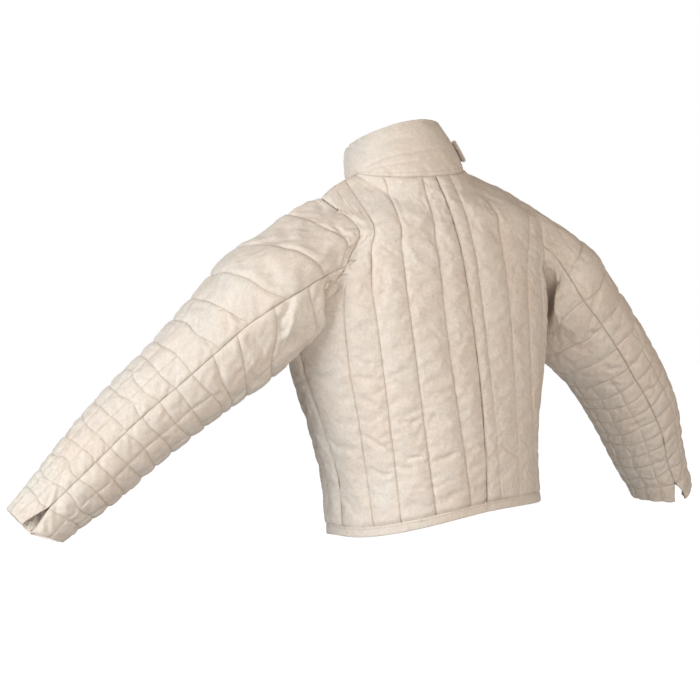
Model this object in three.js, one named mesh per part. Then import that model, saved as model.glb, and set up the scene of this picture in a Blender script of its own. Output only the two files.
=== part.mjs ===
// A quilted and padded cotton fencing jacket in the shape it has when it is worn.
// Millimetres, +Z up. The origin is the middle of the neck's base. +X is the wearer's left,
// +Y the wearer's back, so the wearer looks along -Y.
//
// Each piece of cloth is a padded wall. Its outer points follow the jacket's outer form and
// are pulled in along the rows of stitches, and its inner points are plain.
import * as THREE from 'three';

// ---- Driving dimensions ----
const PAD = 7; // the wall between two rows of stitches
const STITCH_DROP = 3; // how far a row of stitches is pulled in
const SEAM_GAP = 0.3; // between two pieces that are sewn together
const SEAM_SET_BACK = 0.75; // share of that gap by which each piece ends before the seam
const ROUNDNESS = 2.3; // power of the body's level outlines, 2 being an ellipse
const UNDERARM = 0.62; // share of the body's height at which the armhole starts
const ARMHOLE_BOW = 1.4; // how far the rounded bottom of the armhole is bowed
const NECK_CORNER = 0.41; // share of the top edge that is neckline, the rest is shoulder seam
const ARMHOLE_STEPS = 12; // points along the armhole on the front and on the back
const FLY = { thick: 2.5, over: 0.4, fromRow: 1, endRow: 1 }; // strip over the front opening
const HEM_BAND = { share: 0.03, thick: 1.8, over: 0.4 };
const FINE_STEP = 0.002; // for slopes of the surfaces
const TURN = 57; // degrees that count as one step in those slopes

// The body's levels from the hem to below the shoulder.
// v: share of the height, mid and side: heights of the level at the centre line and at the
// side edge, half: half width, deep: distance of the centre line from the body's axis,
// axis: where that axis lies along Y, turn: how far round the level reaches, in degrees.
const BACK = [
  { v: 0.0, mid: -498, side: -517, half: 172, deep: 138, axis: 0, turn: 90 },
  { v: 0.16, mid: -423, side: -438, half: 169, deep: 145, axis: 0, turn: 90 },
  { v: 0.33, mid: -347, side: -355, half: 186, deep: 147, axis: 0, turn: 90 },
  { v: 0.48, mid: -271, side: -271, half: 208, deep: 146, axis: 0, turn: 90 },
  { v: 0.62, mid: -195, side: -185, half: 224, deep: 141, axis: 0, turn: 90 },
];
const FRONT = [
  { v: 0.0, mid: -554, side: -517, half: 172, deep: -133, axis: 0, turn: 90 },
  { v: 0.16, mid: -458, side: -438, half: 169, deep: -137, axis: 0, turn: 90 },
  { v: 0.33, mid: -360, side: -355, half: 186, deep: -138, axis: 0, turn: 90 },
  { v: 0.48, mid: -271, side: -271, half: 208, deep: -135, axis: 0, turn: 90 },
  { v: 0.62, mid: -200, side: -185, half: 224, deep: -131, axis: 0, turn: 90 },
];
// Above the underarm the two sides differ, because the left arm is raised and the right hangs.
const SHOULDERS = {
  left: {
    back: [
      { v: 0.72, mid: -142, side: -142, half: 214, deep: 135, axis: 0, turn: 60 },
      { v: 0.82, mid: -90, side: -103, half: 198, deep: 124, axis: 5, turn: 52 },
      { v: 0.91, mid: -43, side: -66, half: 187, deep: 107, axis: 11, turn: 47 },
    ],
    front: [
      { v: 0.72, mid: -147, side: -142, half: 209, deep: -122, axis: 0, turn: 55 },
      { v: 0.82, mid: -105, side: -103, half: 192, deep: -106, axis: 0, turn: 48 },
      { v: 0.91, mid: -71, side: -66, half: 180, deep: -85, axis: 5, turn: 48 },
    ],
    tip: { x: 157, y: 10, z: -16 },
  },
  right: {
    back: [
      { v: 0.72, mid: -142, side: -144, half: 228, deep: 135, axis: 0, turn: 60 },
      { v: 0.82, mid: -90, side: -102, half: 236, deep: 124, axis: 5, turn: 57 },
      { v: 0.91, mid: -43, side: -70, half: 232, deep: 107, axis: 11, turn: 62 },
    ],
    front: [
      { v: 0.72, mid: -147, side: -142, half: 214, deep: -122, axis: 0, turn: 56 },
      { v: 0.82, mid: -105, side: -103, half: 218, deep: -106, axis: 0, turn: 52 },
      { v: 0.91, mid: -71, side: -72, half: 224, deep: -85, axis: 5, turn: 58 },
    ],
    tip: { x: 208, y: 14, z: -40 },
  },
};
const NECK = { half: 95, back: 84, front: -66, axis: 10, backZ: 0, sideZ: 14, frontZ: -43 };
const SHOULDER_RISE = 3; // how far the shoulder seam is arched

// Where the rows of stitches run down the body, as shares of the way from the centre line
// to the side edge, at some levels.
const BACK_LINES = {
  left: [
    { v: 0.0, lines: [0.12, 0.35, 0.56, 0.75, 0.9] },
    { v: 0.16, lines: [0.15, 0.367, 0.573, 0.775, 0.91] },
    { v: 0.33, lines: [0.16, 0.37, 0.552, 0.743, 0.89] },
    { v: 0.48, lines: [0.165, 0.36, 0.525, 0.703, 0.86] },
    { v: 0.62, lines: [0.155, 0.35, 0.515, 0.675, 0.85] },
    { v: 0.67, lines: [0.178, 0.405, 0.6, 0.79, 0.91] },
    { v: 0.72, lines: [0.212, 0.49, 0.738, 0.88, 0.95] },
    { v: 0.77, lines: [0.228, 0.537, 0.81, 0.91, 0.96] },
    { v: 0.87, lines: [0.232, 0.59, 0.855, 0.925, 0.965] },
    { v: 0.91, lines: [0.208, 0.57, 0.83, 0.915, 0.96] },
    { v: 0.95, lines: [0.125, 0.39, 0.765, 0.89, 0.95] },
    { v: 1.0, lines: [0.075, 0.27, 0.69, 0.82, 0.92] },
  ],
  right: [
    { v: 0.0, lines: [0.125, 0.315, 0.46, 0.64, 0.85] },
    { v: 0.16, lines: [0.088, 0.285, 0.475, 0.66, 0.85] },
    { v: 0.33, lines: [0.062, 0.255, 0.43, 0.62, 0.83] },
    { v: 0.48, lines: [0.052, 0.245, 0.405, 0.59, 0.82] },
    { v: 0.62, lines: [0.06, 0.258, 0.415, 0.6, 0.83] },
    { v: 0.67, lines: [0.08, 0.302, 0.503, 0.7, 0.88] },
    { v: 0.72, lines: [0.107, 0.362, 0.623, 0.83, 0.93] },
    { v: 0.77, lines: [0.115, 0.385, 0.698, 0.87, 0.945] },
    { v: 0.87, lines: [0.122, 0.395, 0.748, 0.9, 0.95] },
    { v: 0.91, lines: [0.12, 0.41, 0.77, 0.91, 0.955] },
    { v: 0.95, lines: [0.103, 0.4, 0.77, 0.89, 0.95] },
    { v: 1.0, lines: [0.075, 0.27, 0.69, 0.82, 0.92] },
  ],
};
const FRONT_LINES = [
  { v: 0.0, lines: [0.15, 0.36, 0.56, 0.75, 0.9] },
  { v: 0.62, lines: [0.15, 0.36, 0.56, 0.75, 0.9] },
  { v: 0.72, lines: [0.17, 0.42, 0.68, 0.86, 0.93] },
  { v: 0.92, lines: [0.17, 0.46, 0.76, 0.87, 0.94] },
  { v: 1.0, lines: [0.075, 0.27, 0.69, 0.82, 0.92] },
];
const CHANNEL_STEPS = [2, 3, 3, 3, 3, 1]; // mesh columns between two rows of stitches
const BODY_LEVELS = [0.12, 0.21, 0.3, 0.38, 0.46, 0.54]; // mesh rows from hem band to underarm
const SHORT_LINES = 3; // the lines from this one on end at the armhole
const SHORT_LINES_END = { from: 0.68, to: 0.76 };

// The sleeves' rings after the armhole. x, y, z: the ring's middle, up and back: its radii.
// crown: the way in which a sleeve leaves the tip of the shoulder.
const SLEEVES = {
  left: {
    root: { x: 160, y: 8, z: -96 },
    crown: { x: 0.97, y: -0.05, z: -0.24 },
    rings: [
      { x: 237, y: 3, z: -152, up: 93, back: 91 },
      { x: 305, y: -15, z: -200, up: 82, back: 84 },
      { x: 378, y: -39, z: -256, up: 72, back: 74 },
      { x: 452, y: -64, z: -311, up: 65.5, back: 67.5 },
      { x: 522, y: -84, z: -369, up: 58, back: 60 },
      { x: 573, y: -94, z: -409, up: 49.5, back: 50.5 },
      { x: 612, y: -102, z: -439, up: 43, back: 45 },
    ],
    // the back seam's place round the sleeve at shares of its length, in degrees
    seam: [
      { s: 0, at: 105 },
      { s: 0.12, at: 84 },
      { s: 0.3, at: 72 },
      { s: 1, at: 66 },
    ],
    slope: { outer: 0.045, under: 0.06 },
  },
  right: {
    root: { x: 196, y: 10, z: -118 },
    crown: { x: 0.82, y: 0.08, z: -0.57 },
    rings: [
      { x: 254, y: 18, z: -188, up: 92, back: 88 },
      { x: 302, y: 15, z: -239, up: 84, back: 85 },
      { x: 366, y: 15, z: -316, up: 77, back: 78 },
      { x: 445, y: -1, z: -438, up: 70, back: 71 },
      { x: 468, y: -9, z: -494, up: 61, back: 62 },
      { x: 496, y: -15, z: -553, up: 52, back: 54 },
      { x: 502, y: -17, z: -568, up: 50, back: 52 },
    ],
    seam: [
      { s: 0, at: 105 },
      { s: 0.14, at: 99 },
      { s: 0.5, at: 108 },
      { s: 1, at: 103 },
    ],
    slope: { outer: 0.04, under: 0 },
  },
};
const FRONT_SEAM = -120; // the hidden front seam's place round the sleeve, in degrees
const OUTER_STEPS = 15; // mesh columns across a sleeve's outer piece
const UNDER_STEPS = 9; // and across its under piece
const CELL_STEPS = 3; // mesh steps from one row of stitches to the next on a sleeve
const ROOT_ROWS = [0, 1, 3]; // mesh rows by the armhole that the inside follows too
// The rows of stitches round a sleeve, as shares of its length: wide ones on the upper arm,
// and from the elbow on a net of small squares.
const UPPER_ARM = { start: 0.11, pitch: 0.09, rows: 5 };
const FOREARM = { pitch: 0.0625, rows: 8 };
// The slit at the cuff: how far each edge opens, in degrees, and how far it curls out.
const SLIT = { from: 0.915, outer: 11, under: 9, curl: { outer: 5, under: -2.5 } };
const CUFF_RISE = { from: 0.85, share: 0.035 }; // how much shorter a sleeve is under the arm
// the sleeve leaves the armhole by a short stub, and stays clear of the body below these heights
const STUB = { length: 22, clear: 14, freeAbove: -128, clearBelow: -158 };

const COLLAR = {
  wall: 6,
  top: { y: -21, half: 77, deep: 66, z: 73, slopeX: -0.069, slopeY: 0.314 },
  rows: [0, 0.11, 0.22, 0.33, 0.48, 0.64, 0.8, 0.9, 1],
  innerRows: [0, 3, 6, 8],
  stitched: [0.33, 0.9],
  drop: 1.8,
  bulge: 3,
};
// The closing flap lies on the collar from one angle to another. rows and steps: its mesh.
const COLLAR_FLAP = {
  from: 168, to: 297, low: 0.13, high: 0.6, wall: 5, rows: 4, steps: 22, clear: 0.5, stand: 5,
};

const COTTON = { roughness: 0.92, metalness: 0 };
const CLOTH = new THREE.MeshStandardMaterial({ color: 0xd6c9b8, ...COTTON });
const BINDING = new THREE.MeshStandardMaterial({ color: 0xd0c2b0, ...COTTON });

// ---- Small tools ----
const vector = (p) => new THREE.Vector3(p.x, p.y, p.z);
const mix = THREE.MathUtils.lerp;
const radians = THREE.MathUtils.degToRad;
const smooth = THREE.MathUtils.smoothstep;

/**
 * A smooth curve through vectors that lie at rising knots. `bend` names a knot at which the
 * curve may turn, by `share`, from the direction `before` to the direction `after`.
 */
function through(knots, points, t, bend) {
  const last = knots.length - 1;
  let i = 0;
  while (i < last - 1 && t > knots[i + 1]) i += 1;
  const chord = (k) => points[k + 1].clone().sub(points[k]).divideScalar(knots[k + 1] - knots[k]);
  const tangent = (k) => {
    if (k === 0) return chord(0);
    if (k === last) return chord(last - 1);
    const before = knots[k] - knots[k - 1];
    const after = knots[k + 1] - knots[k];
    const share = before / (before + after);
    return chord(k - 1).multiplyScalar(1 - share).addScaledVector(chord(k), share);
  };
  const bent = (k, side) => (bend && k === bend.knot
    ? tangent(k).lerp(bend[side](chord), bend.share)
    : tangent(k));
  const h = knots[i + 1] - knots[i];
  const s = (t - knots[i]) / h;
  return new THREE.Vector3()
    .addScaledVector(points[i], 2 * s ** 3 - 3 * s ** 2 + 1)
    .addScaledVector(bent(i, 'after'), (s ** 3 - 2 * s ** 2 + s) * h)
    .addScaledVector(points[i + 1], 3 * s ** 2 - 2 * s ** 3)
    .addScaledVector(bent(i + 1, 'before'), (s ** 3 - s ** 2) * h);
}

/** Straight interpolation in a table of rows, by the column `key`. */
function lookUp(table, key, at, read) {
  let i = 0;
  while (i < table.length - 2 && at > table[i + 1][key]) i += 1;
  const [a, b] = [table[i], table[i + 1]];
  const share = THREE.MathUtils.clamp((at - a[key]) / (b[key] - a[key]), 0, 1);
  return mix(read(a), read(b), share);
}

// ---- The body's surface ----
const LEVEL_SAMPLES = 80;

/** Points spaced evenly along one level, from the centre line to the side edge. */
function levelCurve(level) {
  const outline = [];
  let length = 0;
  for (let k = 0; k <= LEVEL_SAMPLES; k += 1) {
    const angle = radians((level.turn * k) / LEVEL_SAMPLES);
    const x = level.half * Math.sin(angle) ** (2 / ROUNDNESS);
    const cosine = Math.max(Math.cos(angle), 0) ** (2 / ROUNDNESS);
    const y = level.axis + (level.deep - level.axis) * cosine;
    const before = outline[k - 1];
    if (before) length += Math.hypot(x - before.x, y - before.y);
    outline.push({ x, y, length });
  }
  return (u) => {
    const x = lookUp(outline, 'length', u * length, (p) => p.x);
    const y = lookUp(outline, 'length', u * length, (p) => p.y);
    return new THREE.Vector3(x, y, mix(level.mid, level.side, u * u * (3 - 2 * u)));
  };
}

/** The neck's base from the middle (0) to the side of the neck (1), on one face. */
function neckPoint(share, face) {
  const angle = (share * Math.PI) / 2;
  const depth = (face === 'front' ? NECK.front : NECK.back) - NECK.axis;
  const middleZ = face === 'front' ? NECK.frontZ : NECK.backZ;
  return new THREE.Vector3(
    NECK.half * Math.sin(angle),
    NECK.axis + depth * Math.cos(angle),
    mix(middleZ, NECK.sideZ, 1 - Math.cos(angle)),
  );
}

function topEdge(u, face, side) {
  if (u <= NECK_CORNER) return neckPoint(u / NECK_CORNER, face);
  const share = (u - NECK_CORNER) / (1 - NECK_CORNER);
  const seam = neckPoint(1, face).lerp(vector(SHOULDERS[side].tip), share);
  seam.z += SHOULDER_RISE * Math.sin(Math.PI * share);
  return seam;
}

const mirrored = (p, side) => (side === 'right' ? p.setX(-p.x) : p);

/** A quarter of the body: u from the centre line to the side edge, v from hem to shoulder. */
function bodySurface(face, side) {
  const levels = [...(face === 'front' ? FRONT : BACK), ...SHOULDERS[side][face]];
  const curves = levels.map(levelCurve);
  const knots = [...levels.map((level) => level.v), 1];
  const knot = knots.indexOf(UNDERARM);
  // at the side edge the seam ends in the rounded bottom of the armhole
  const before = (chord) => chord(knot - 1);
  const after = (chord) => new THREE.Vector3(0, ARMHOLE_BOW * chord(knot).y, 0);
  return (u, v) => {
    const points = [...curves.map((curve) => curve(u)), topEdge(u, face, side)];
    const bend = { knot, share: u ** 4, before, after };
    return mirrored(through(knots, points, v, bend), side);
  };
}

// ---- The sleeves' surface ----
/** The armhole: 0 degrees on the shoulder, 90 behind, 180 under the arm, -90 in front. */
function armholePoint(surfaces, angle) {
  const turned = ((((angle + 180) % 360) + 360) % 360) - 180;
  const surface = turned < 0 ? surfaces.front : surfaces.back;
  return surface(1, 1 - ((1 - UNDERARM) * Math.abs(turned)) / 180);
}

/** Moves a point of a sleeve out sideways until it is clear of the body's outline. */
function clearOfBody(p) {
  const levels = p.y < 0 ? FRONT : BACK;
  const read = (column) => Math.abs(lookUp(levels, 'mid', p.z, (row) => row[column])) + STUB.clear;
  const across = Math.min(Math.abs(p.y) / read('deep'), 1);
  const edge = read('half') * (1 - across ** ROUNDNESS) ** (1 / ROUNDNESS);
  const firm = 1 - smooth(p.z, STUB.clearBelow, STUB.freeAbove);
  return p.setX(p.x + firm * Math.max(edge - p.x, 0));
}

function sleeveSurface(side, surfaces) {
  const { root, rings, crown } = SLEEVES[side];
  const middles = [root, ...rings].map(vector);
  const lengths = [0];
  for (let k = 1; k < middles.length; k += 1) {
    lengths.push(lengths[k - 1] + middles[k].distanceTo(middles[k - 1]));
  }
  const whole = lengths[lengths.length - 1];
  const knots = [0, STUB.length / whole, ...lengths.slice(1).map((length) => length / whole)];
  const away = middles[1].clone().sub(middles[0]).normalize();
  const frames = rings.map((ring, k) => {
    const next = middles[Math.min(k + 2, middles.length - 1)];
    const along = next.clone().sub(middles[k]).normalize();
    const back = new THREE.Vector3(0, 1, 0).addScaledVector(along, -along.y).normalize();
    const up = new THREE.Vector3().crossVectors(along, back).normalize();
    return { middle: middles[k + 1], back, up, ring };
  });
  return (angle, s) => {
    const cosine = Math.cos(radians(angle));
    const sine = Math.sin(radians(angle));
    const points = frames.map(({ middle, back, up, ring }) => clearOfBody(
      middle.clone().addScaledVector(up, ring.up * cosine).addScaledVector(back, ring.back * sine)));
    const start = mirrored(armholePoint(surfaces, angle), side);
    const leaving = vector(crown).lerp(away, (1 - cosine) / 2);
    const stub = clearOfBody(start.clone().addScaledVector(leaving, STUB.length));
    return mirrored(through(knots, [start, stub, ...points], s), side);
  };
}

// ---- The collar's surface ----
/** The collar: 0 degrees behind, 90 on the left, 180 in front; k from base to top edge. */
function collarSurface(angle, k) {
  const turned = ((((angle + 180) % 360) + 360) % 360) - 180;
  const face = Math.abs(turned) > 90 ? 'front' : 'back';
  const share = face === 'front' ? (180 - Math.abs(turned)) / 90 : Math.abs(turned) / 90;
  const base = neckPoint(share, face);
  if (turned < 0) base.x = -base.x;
  const { top } = COLLAR;
  const x = top.half * Math.sin(radians(turned));
  const y = top.y + top.deep * Math.cos(radians(turned));
  const edge = new THREE.Vector3(x, y, top.z + top.slopeX * x + top.slopeY * y);
  const out = new THREE.Vector3(Math.sin(radians(turned)), Math.cos(radians(turned)), 0);
  return base.lerp(edge, k).addScaledVector(out, COLLAR.bulge * Math.sin(Math.PI * k));
}

// ---- Seams: pieces that meet share one direction through the wall ----
/** The surface's outward direction. `flip` is -1 where the two parameters turn the other way. */
function outward(surface, a, b, flip) {
  const alongA = surface(a + FINE_STEP, b).sub(surface(a - FINE_STEP, b));
  const alongB = surface(a, b + FINE_STEP).sub(surface(a, b - FINE_STEP));
  return alongA.cross(alongB).multiplyScalar(flip).normalize();
}

const seamPoints = []; // { piece, at, out } along every sewn edge
const SEAM_REACH = 0.6;
const LEAST_LEAN = 0.6; // keeps the wall at a sharp seam from growing too thick

function seamDirection(at) {
  const nearest = new Map();
  for (const point of seamPoints) {
    const away = point.at.distanceTo(at);
    const best = nearest.get(point.piece);
    if (away < SEAM_REACH && (!best || away < best.away)) {
      nearest.set(point.piece, { away, out: point.out });
    }
  }
  const outs = [...nearest.values()].map((entry) => entry.out);
  const out = outs.reduce((sum, each) => sum.add(each), new THREE.Vector3()).normalize();
  const lean = Math.min(...outs.map((each) => each.dot(out)));
  return { out, stretch: 1 / Math.max(lean, LEAST_LEAN) };
}

// ---- Walls ----
/**
 * A grid of places (rows of columns) on a surface. Each place has `at`, `out`, `drop`
 * and, on a sewn edge, `into`, the direction from the seam into the piece.
 */
function wallGeometry(grid, { wall, innerRows, innerColumns }) {
  const positions = [];
  const faces = [];
  const put = (p) => positions.push(p.x, p.y, p.z) / 3 - 1;
  const place = (node, depth) => {
    const p = node.at.clone().addScaledVector(node.out, -depth * node.stretch);
    return node.into ? p.addScaledVector(node.into, SEAM_GAP * SEAM_SET_BACK) : p;
  };
  const outer = grid.map((row) => row.map((node) => put(place(node, node.drop))));
  const inner = new Map();
  for (const r of innerRows) {
    for (const c of innerColumns) inner.set(`${r},${c}`, put(place(grid[r][c], wall)));
  }
  const within = (r, c) => inner.get(`${r},${c}`);
  const quad = (a, b, c, d) => faces.push(a, b, c, a, c, d);
  for (let r = 0; r + 1 < grid.length; r += 1) {
    for (let c = 0; c + 1 < grid[0].length; c += 1) {
      quad(outer[r][c], outer[r][c + 1], outer[r + 1][c + 1], outer[r + 1][c]);
    }
  }
  for (let i = 0; i + 1 < innerRows.length; i += 1) {
    for (let j = 0; j + 1 < innerColumns.length; j += 1) {
      const [r0, r1, c0, c1] = [innerRows[i], innerRows[i + 1], innerColumns[j], innerColumns[j + 1]];
      quad(within(r0, c0), within(r1, c0), within(r1, c1), within(r0, c1));
    }
  }
  const apart = (a, b) => {
    const [x, y, z] = [0, 1, 2].map((axis) => positions[3 * a + axis] - positions[3 * b + axis]);
    return Math.hypot(x, y, z);
  };
  /** Joins an outer edge to the inner one, which has only some of its points. */
  const rim = (stops, outerAt, innerAt, turn) => {
    const triangle = (a, b, c) => (turn ? faces.push(a, c, b) : faces.push(a, b, c));
    for (let i = 0; i + 1 < stops.length; i += 1) {
      const [from, to] = [innerAt(stops[i]), innerAt(stops[i + 1])];
      let k = stops[i];
      const nearFrom = (point) => apart(point, from) < apart(point, to);
      for (; k + 1 < stops[i + 1] && nearFrom(outerAt(k + 1)); k += 1) {
        triangle(outerAt(k), from, outerAt(k + 1));
      }
      if (apart(outerAt(k), to) < apart(outerAt(k + 1), from)) {
        triangle(outerAt(k), from, to);
        triangle(outerAt(k), to, outerAt(k + 1));
      } else {
        triangle(outerAt(k), from, outerAt(k + 1));
        triangle(from, to, outerAt(k + 1));
      }
      for (k += 1; k < stops[i + 1]; k += 1) triangle(outerAt(k), to, outerAt(k + 1));
    }
  };
  const lastRow = grid.length - 1;
  const lastColumn = grid[0].length - 1;
  rim(innerColumns, (k) => outer[0][k], (k) => within(0, k), false);
  rim(innerColumns, (k) => outer[lastRow][k], (k) => within(lastRow, k), true);
  rim(innerRows, (k) => outer[k][0], (k) => within(k, 0), true);
  rim(innerRows, (k) => outer[k][lastColumn], (k) => within(k, lastColumn), false);
  return solidFrom(positions, faces);
}

/** A closed geometry whose faces point out. */
function solidFrom(positions, faces) {
  const corner = (k) => new THREE.Vector3().fromArray(positions, 3 * k);
  let volume = 0;
  for (let k = 0; k < faces.length; k += 3) {
    volume += corner(faces[k]).dot(corner(faces[k + 1]).cross(corner(faces[k + 2])));
  }
  if (volume < 0) faces.reverse();
  const geometry = new THREE.BufferGeometry();
  geometry.setAttribute('position', new THREE.Float32BufferAttribute(positions, 3));
  geometry.setIndex(faces);
  geometry.computeVertexNormals();
  return geometry;
}

const everyOne = (count) => Array.from({ length: count + 1 }, (_, k) => k);

// ---- The body's pieces ----
const bodyRows = () => {
  const low = [0, HEM_BAND.share, ...BODY_LEVELS, UNDERARM];
  const high = everyOne(ARMHOLE_STEPS).slice(1);
  return [...low, ...high.map((k) => mix(UNDERARM, 1, k / ARMHOLE_STEPS))];
};
const BODY_ROWS = bodyRows();

function stitchLines(face, side, v) {
  const table = face === 'front' ? FRONT_LINES : BACK_LINES[side];
  return [0, ...[0, 1, 2, 3, 4].map((k) => lookUp(table, 'v', v, (row) => row.lines[k])), 1];
}

/** The columns of a body piece at a level: share u, and how firmly the stitches hold it. */
function bodyColumns(face, side, v) {
  const lines = stitchLines(face, side, v);
  const columns = [{ u: 0, held: 1 }];
  CHANNEL_STEPS.forEach((steps, channel) => {
    for (let k = 1; k <= steps; k += 1) {
      const line = k === steps ? channel + 1 : 0;
      const ends = 1 - smooth(v, SHORT_LINES_END.from, SHORT_LINES_END.to);
      const isShort = line > SHORT_LINES && line <= 5;
      const held = line === 0 ? 0 : isShort ? ends : 1;
      columns.push({ u: mix(lines[channel], lines[channel + 1], k / steps), held });
    }
  });
  return columns;
}

const CORNER_COLUMN = CHANNEL_STEPS[0] + CHANNEL_STEPS[1] + 1; // the neck's side
const BODY_INNER_COLUMNS = [0, 2, 5, CORNER_COLUMN, 8, 11, 13, 15];

function bodyGrid(face, side, surface) {
  const flip = (face === 'front' ? -1 : 1) * (side === 'right' ? 1 : -1);
  return BODY_ROWS.map((v) => bodyColumns(face, side, v).map(({ u, held }, column) => {
    const at = surface(u, v);
    const out = outward(surface, u, v, flip);
    if (u === 0) out.setX(0).normalize();
    const underFly = face === 'front' && column === 1;
    const pressed = v <= HEM_BAND.share || v === 1 || underFly ? 1 : held;
    return { at, out, stretch: 1, drop: STITCH_DROP * pressed };
  }));
}

/** Marks the sewn edges, with the direction from each of them into the piece. */
function sewnEdges(piece, grid, edges) {
  const lastRow = grid.length - 1;
  const lastColumn = grid[0].length - 1;
  const marks = [];
  grid.forEach((row, r) => row.forEach((node, c) => {
    const into = new THREE.Vector3();
    const add = (other) => into.add(other.at.clone().sub(node.at).normalize());
    if (edges.start && c === 0) add(row[1]);
    if (edges.end && c === lastColumn) add(row[c - 1]);
    if (edges.low && r === 0) add(grid[1][c]);
    if (edges.high && r === lastRow) add(grid[r - 1][c]);
    if (into.lengthSq() === 0) return;
    marks.push({ node, into: into.normalize() });
    seamPoints.push({ piece, at: node.at, out: node.out });
  }));
  return marks;
}

function joinSeams(marks) {
  const shared = marks.map(({ node }) => seamDirection(node.at));
  marks.forEach(({ node, into }, k) => Object.assign(node, { ...shared[k], into }));
}

// ---- The sleeves' pieces ----
function sleeveRows() {
  const lines = [0];
  for (let k = 0; k < UPPER_ARM.rows; k += 1) lines.push(UPPER_ARM.start + k * UPPER_ARM.pitch);
  for (let k = 0; k < FOREARM.rows; k += 1) lines.push(lines[lines.length - 1] + FOREARM.pitch);
  lines.push(1);
  const rows = [{ s: 0, held: true }];
  for (let k = 1; k < lines.length; k += 1) {
    for (let step = 1; step <= CELL_STEPS; step += 1) {
      rows.push({ s: mix(lines[k - 1], lines[k], step / CELL_STEPS), held: step === CELL_STEPS });
    }
  }
  return rows;
}
const SLEEVE_ROWS = sleeveRows();
const ELBOW = UPPER_ARM.start + (UPPER_ARM.rows - 1) * UPPER_ARM.pitch;

function sleeveGrid(side, half, surface) {
  const isOuter = half === 'outer';
  const steps = isOuter ? OUTER_STEPS : UNDER_STEPS;
  const { seam, slope } = SLEEVES[side];
  const flip = side === 'right' ? 1 : -1;
  return SLEEVE_ROWS.map(({ s, held }) => {
    const backSeam = lookUp(seam, 's', s, (row) => row.at);
    const open = smooth(s, SLIT.from, 1);
    const from = isOuter ? FRONT_SEAM : backSeam + SLIT.under * open;
    const to = isOuter ? backSeam - SLIT.outer * open : FRONT_SEAM + 360;
    return everyOne(steps).map((c) => {
      const angle = mix(from, to, c / steps);
      const onSlit = c === (isOuter ? steps : 0);
      const across = Math.sin((Math.PI * c) / steps); // 0 at the seams and 1 between them
      const arched = s < ELBOW ? slope[half] * Math.sin((Math.PI * s) / ELBOW) : 0;
      const trimmed = isOuter ? 0 : CUFF_RISE.share * smooth(s, CUFF_RISE.from, 1);
      const along = s + across * (arched - trimmed);
      const at = surface(angle, along);
      const out = outward((a, b) => surface(a * TURN, b), angle / TURN, along, flip);
      const onLine = c % CELL_STEPS === 0;
      const seamed = c === 0 || c === steps;
      const pressed = held || seamed || (onLine && s > ELBOW);
      const curl = onSlit ? SLIT.curl[half] * open : 0;
      at.addScaledVector(out, curl);
      return { at, out, stretch: 1, drop: pressed ? STITCH_DROP : 0 };
    });
  });
}

// ---- The collar's pieces ----
/** The collar's columns stand on the body's columns along the neckline. */
function collarAngles() {
  const half = bodyColumns('back', 'left', 1).filter(({ u }) => u <= NECK_CORNER + 1e-6);
  const quarter = half.map(({ u }) => (90 * u) / NECK_CORNER);
  const left = [...quarter, ...quarter.slice(0, -1).reverse().map((angle) => 180 - angle)];
  return [...left.slice(1).reverse().map((angle) => -angle), ...left];
}

function collarGrid() {
  return COLLAR.rows.map((k) => collarAngles().map((angle) => {
    const at = collarSurface(angle, k);
    const out = outward((a, b) => collarSurface(a * TURN, b), angle / TURN, k, -1);
    if (Math.abs(angle) === 180) out.setX(0).normalize();
    const drop = k === 0 ? STITCH_DROP : COLLAR.stitched.includes(k) ? COLLAR.drop : 0;
    return { at, out, stretch: 1, drop };
  }));
}

function collarFlapGrid() {
  const { low, high, rows } = COLLAR_FLAP;
  const heights = everyOne(rows).map((k) => mix(low, high, k / rows));
  return heights.map((k) => everyOne(COLLAR_FLAP.steps).map((c) => {
    const share = c / COLLAR_FLAP.steps;
    const angle = mix(COLLAR_FLAP.from, COLLAR_FLAP.to, share);
    const out = outward((a, b) => collarSurface(a * TURN, b), angle / TURN, k, -1);
    const stand = COLLAR_FLAP.wall + COLLAR_FLAP.clear + COLLAR_FLAP.stand * share ** 3;
    const at = collarSurface(angle, k).addScaledVector(out, stand);
    return { at, out, stretch: 1, drop: 0 };
  }));
}

// ---- The binding round the hem ----
function hemGrid(grids) {
  const order = [
    { grid: grids.front.left, turn: false },
    { grid: grids.back.left, turn: true },
    { grid: grids.back.right, turn: false },
    { grid: grids.front.right, turn: true },
  ];
  return [0, 1].map((r) => {
    const row = [];
    for (const { grid, turn } of order) {
      const nodes = turn ? [...grid[r]].reverse() : grid[r];
      row.push(...(row.length ? nodes.slice(1) : nodes));
    }
    const lift = HEM_BAND.over + HEM_BAND.thick - STITCH_DROP;
    return row.map(({ at, out }) => (
      { at: at.clone().addScaledVector(out, lift), out, stretch: 1, drop: 0 }));
  });
}

// ---- The strip over the front opening ----
function flyGrid(grids) {
  const lift = FLY.over + FLY.thick - STITCH_DROP;
  const rows = grids.front.left.slice(FLY.fromRow + 1, -FLY.endRow);
  return rows.map((row, k) => {
    const other = grids.front.right[k + FLY.fromRow + 1];
    return [other[1], row[0], row[1]].map(({ at, out }) => (
      { at: at.clone().addScaledVector(out, lift), out, stretch: 1, drop: 0 }));
  });
}

// ---- Assembly ----
const group = new THREE.Group();
function addPiece(name, geometry, material) {
  const mesh = new THREE.Mesh(geometry, material);
  mesh.name = name;
  group.add(mesh);
}

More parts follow.
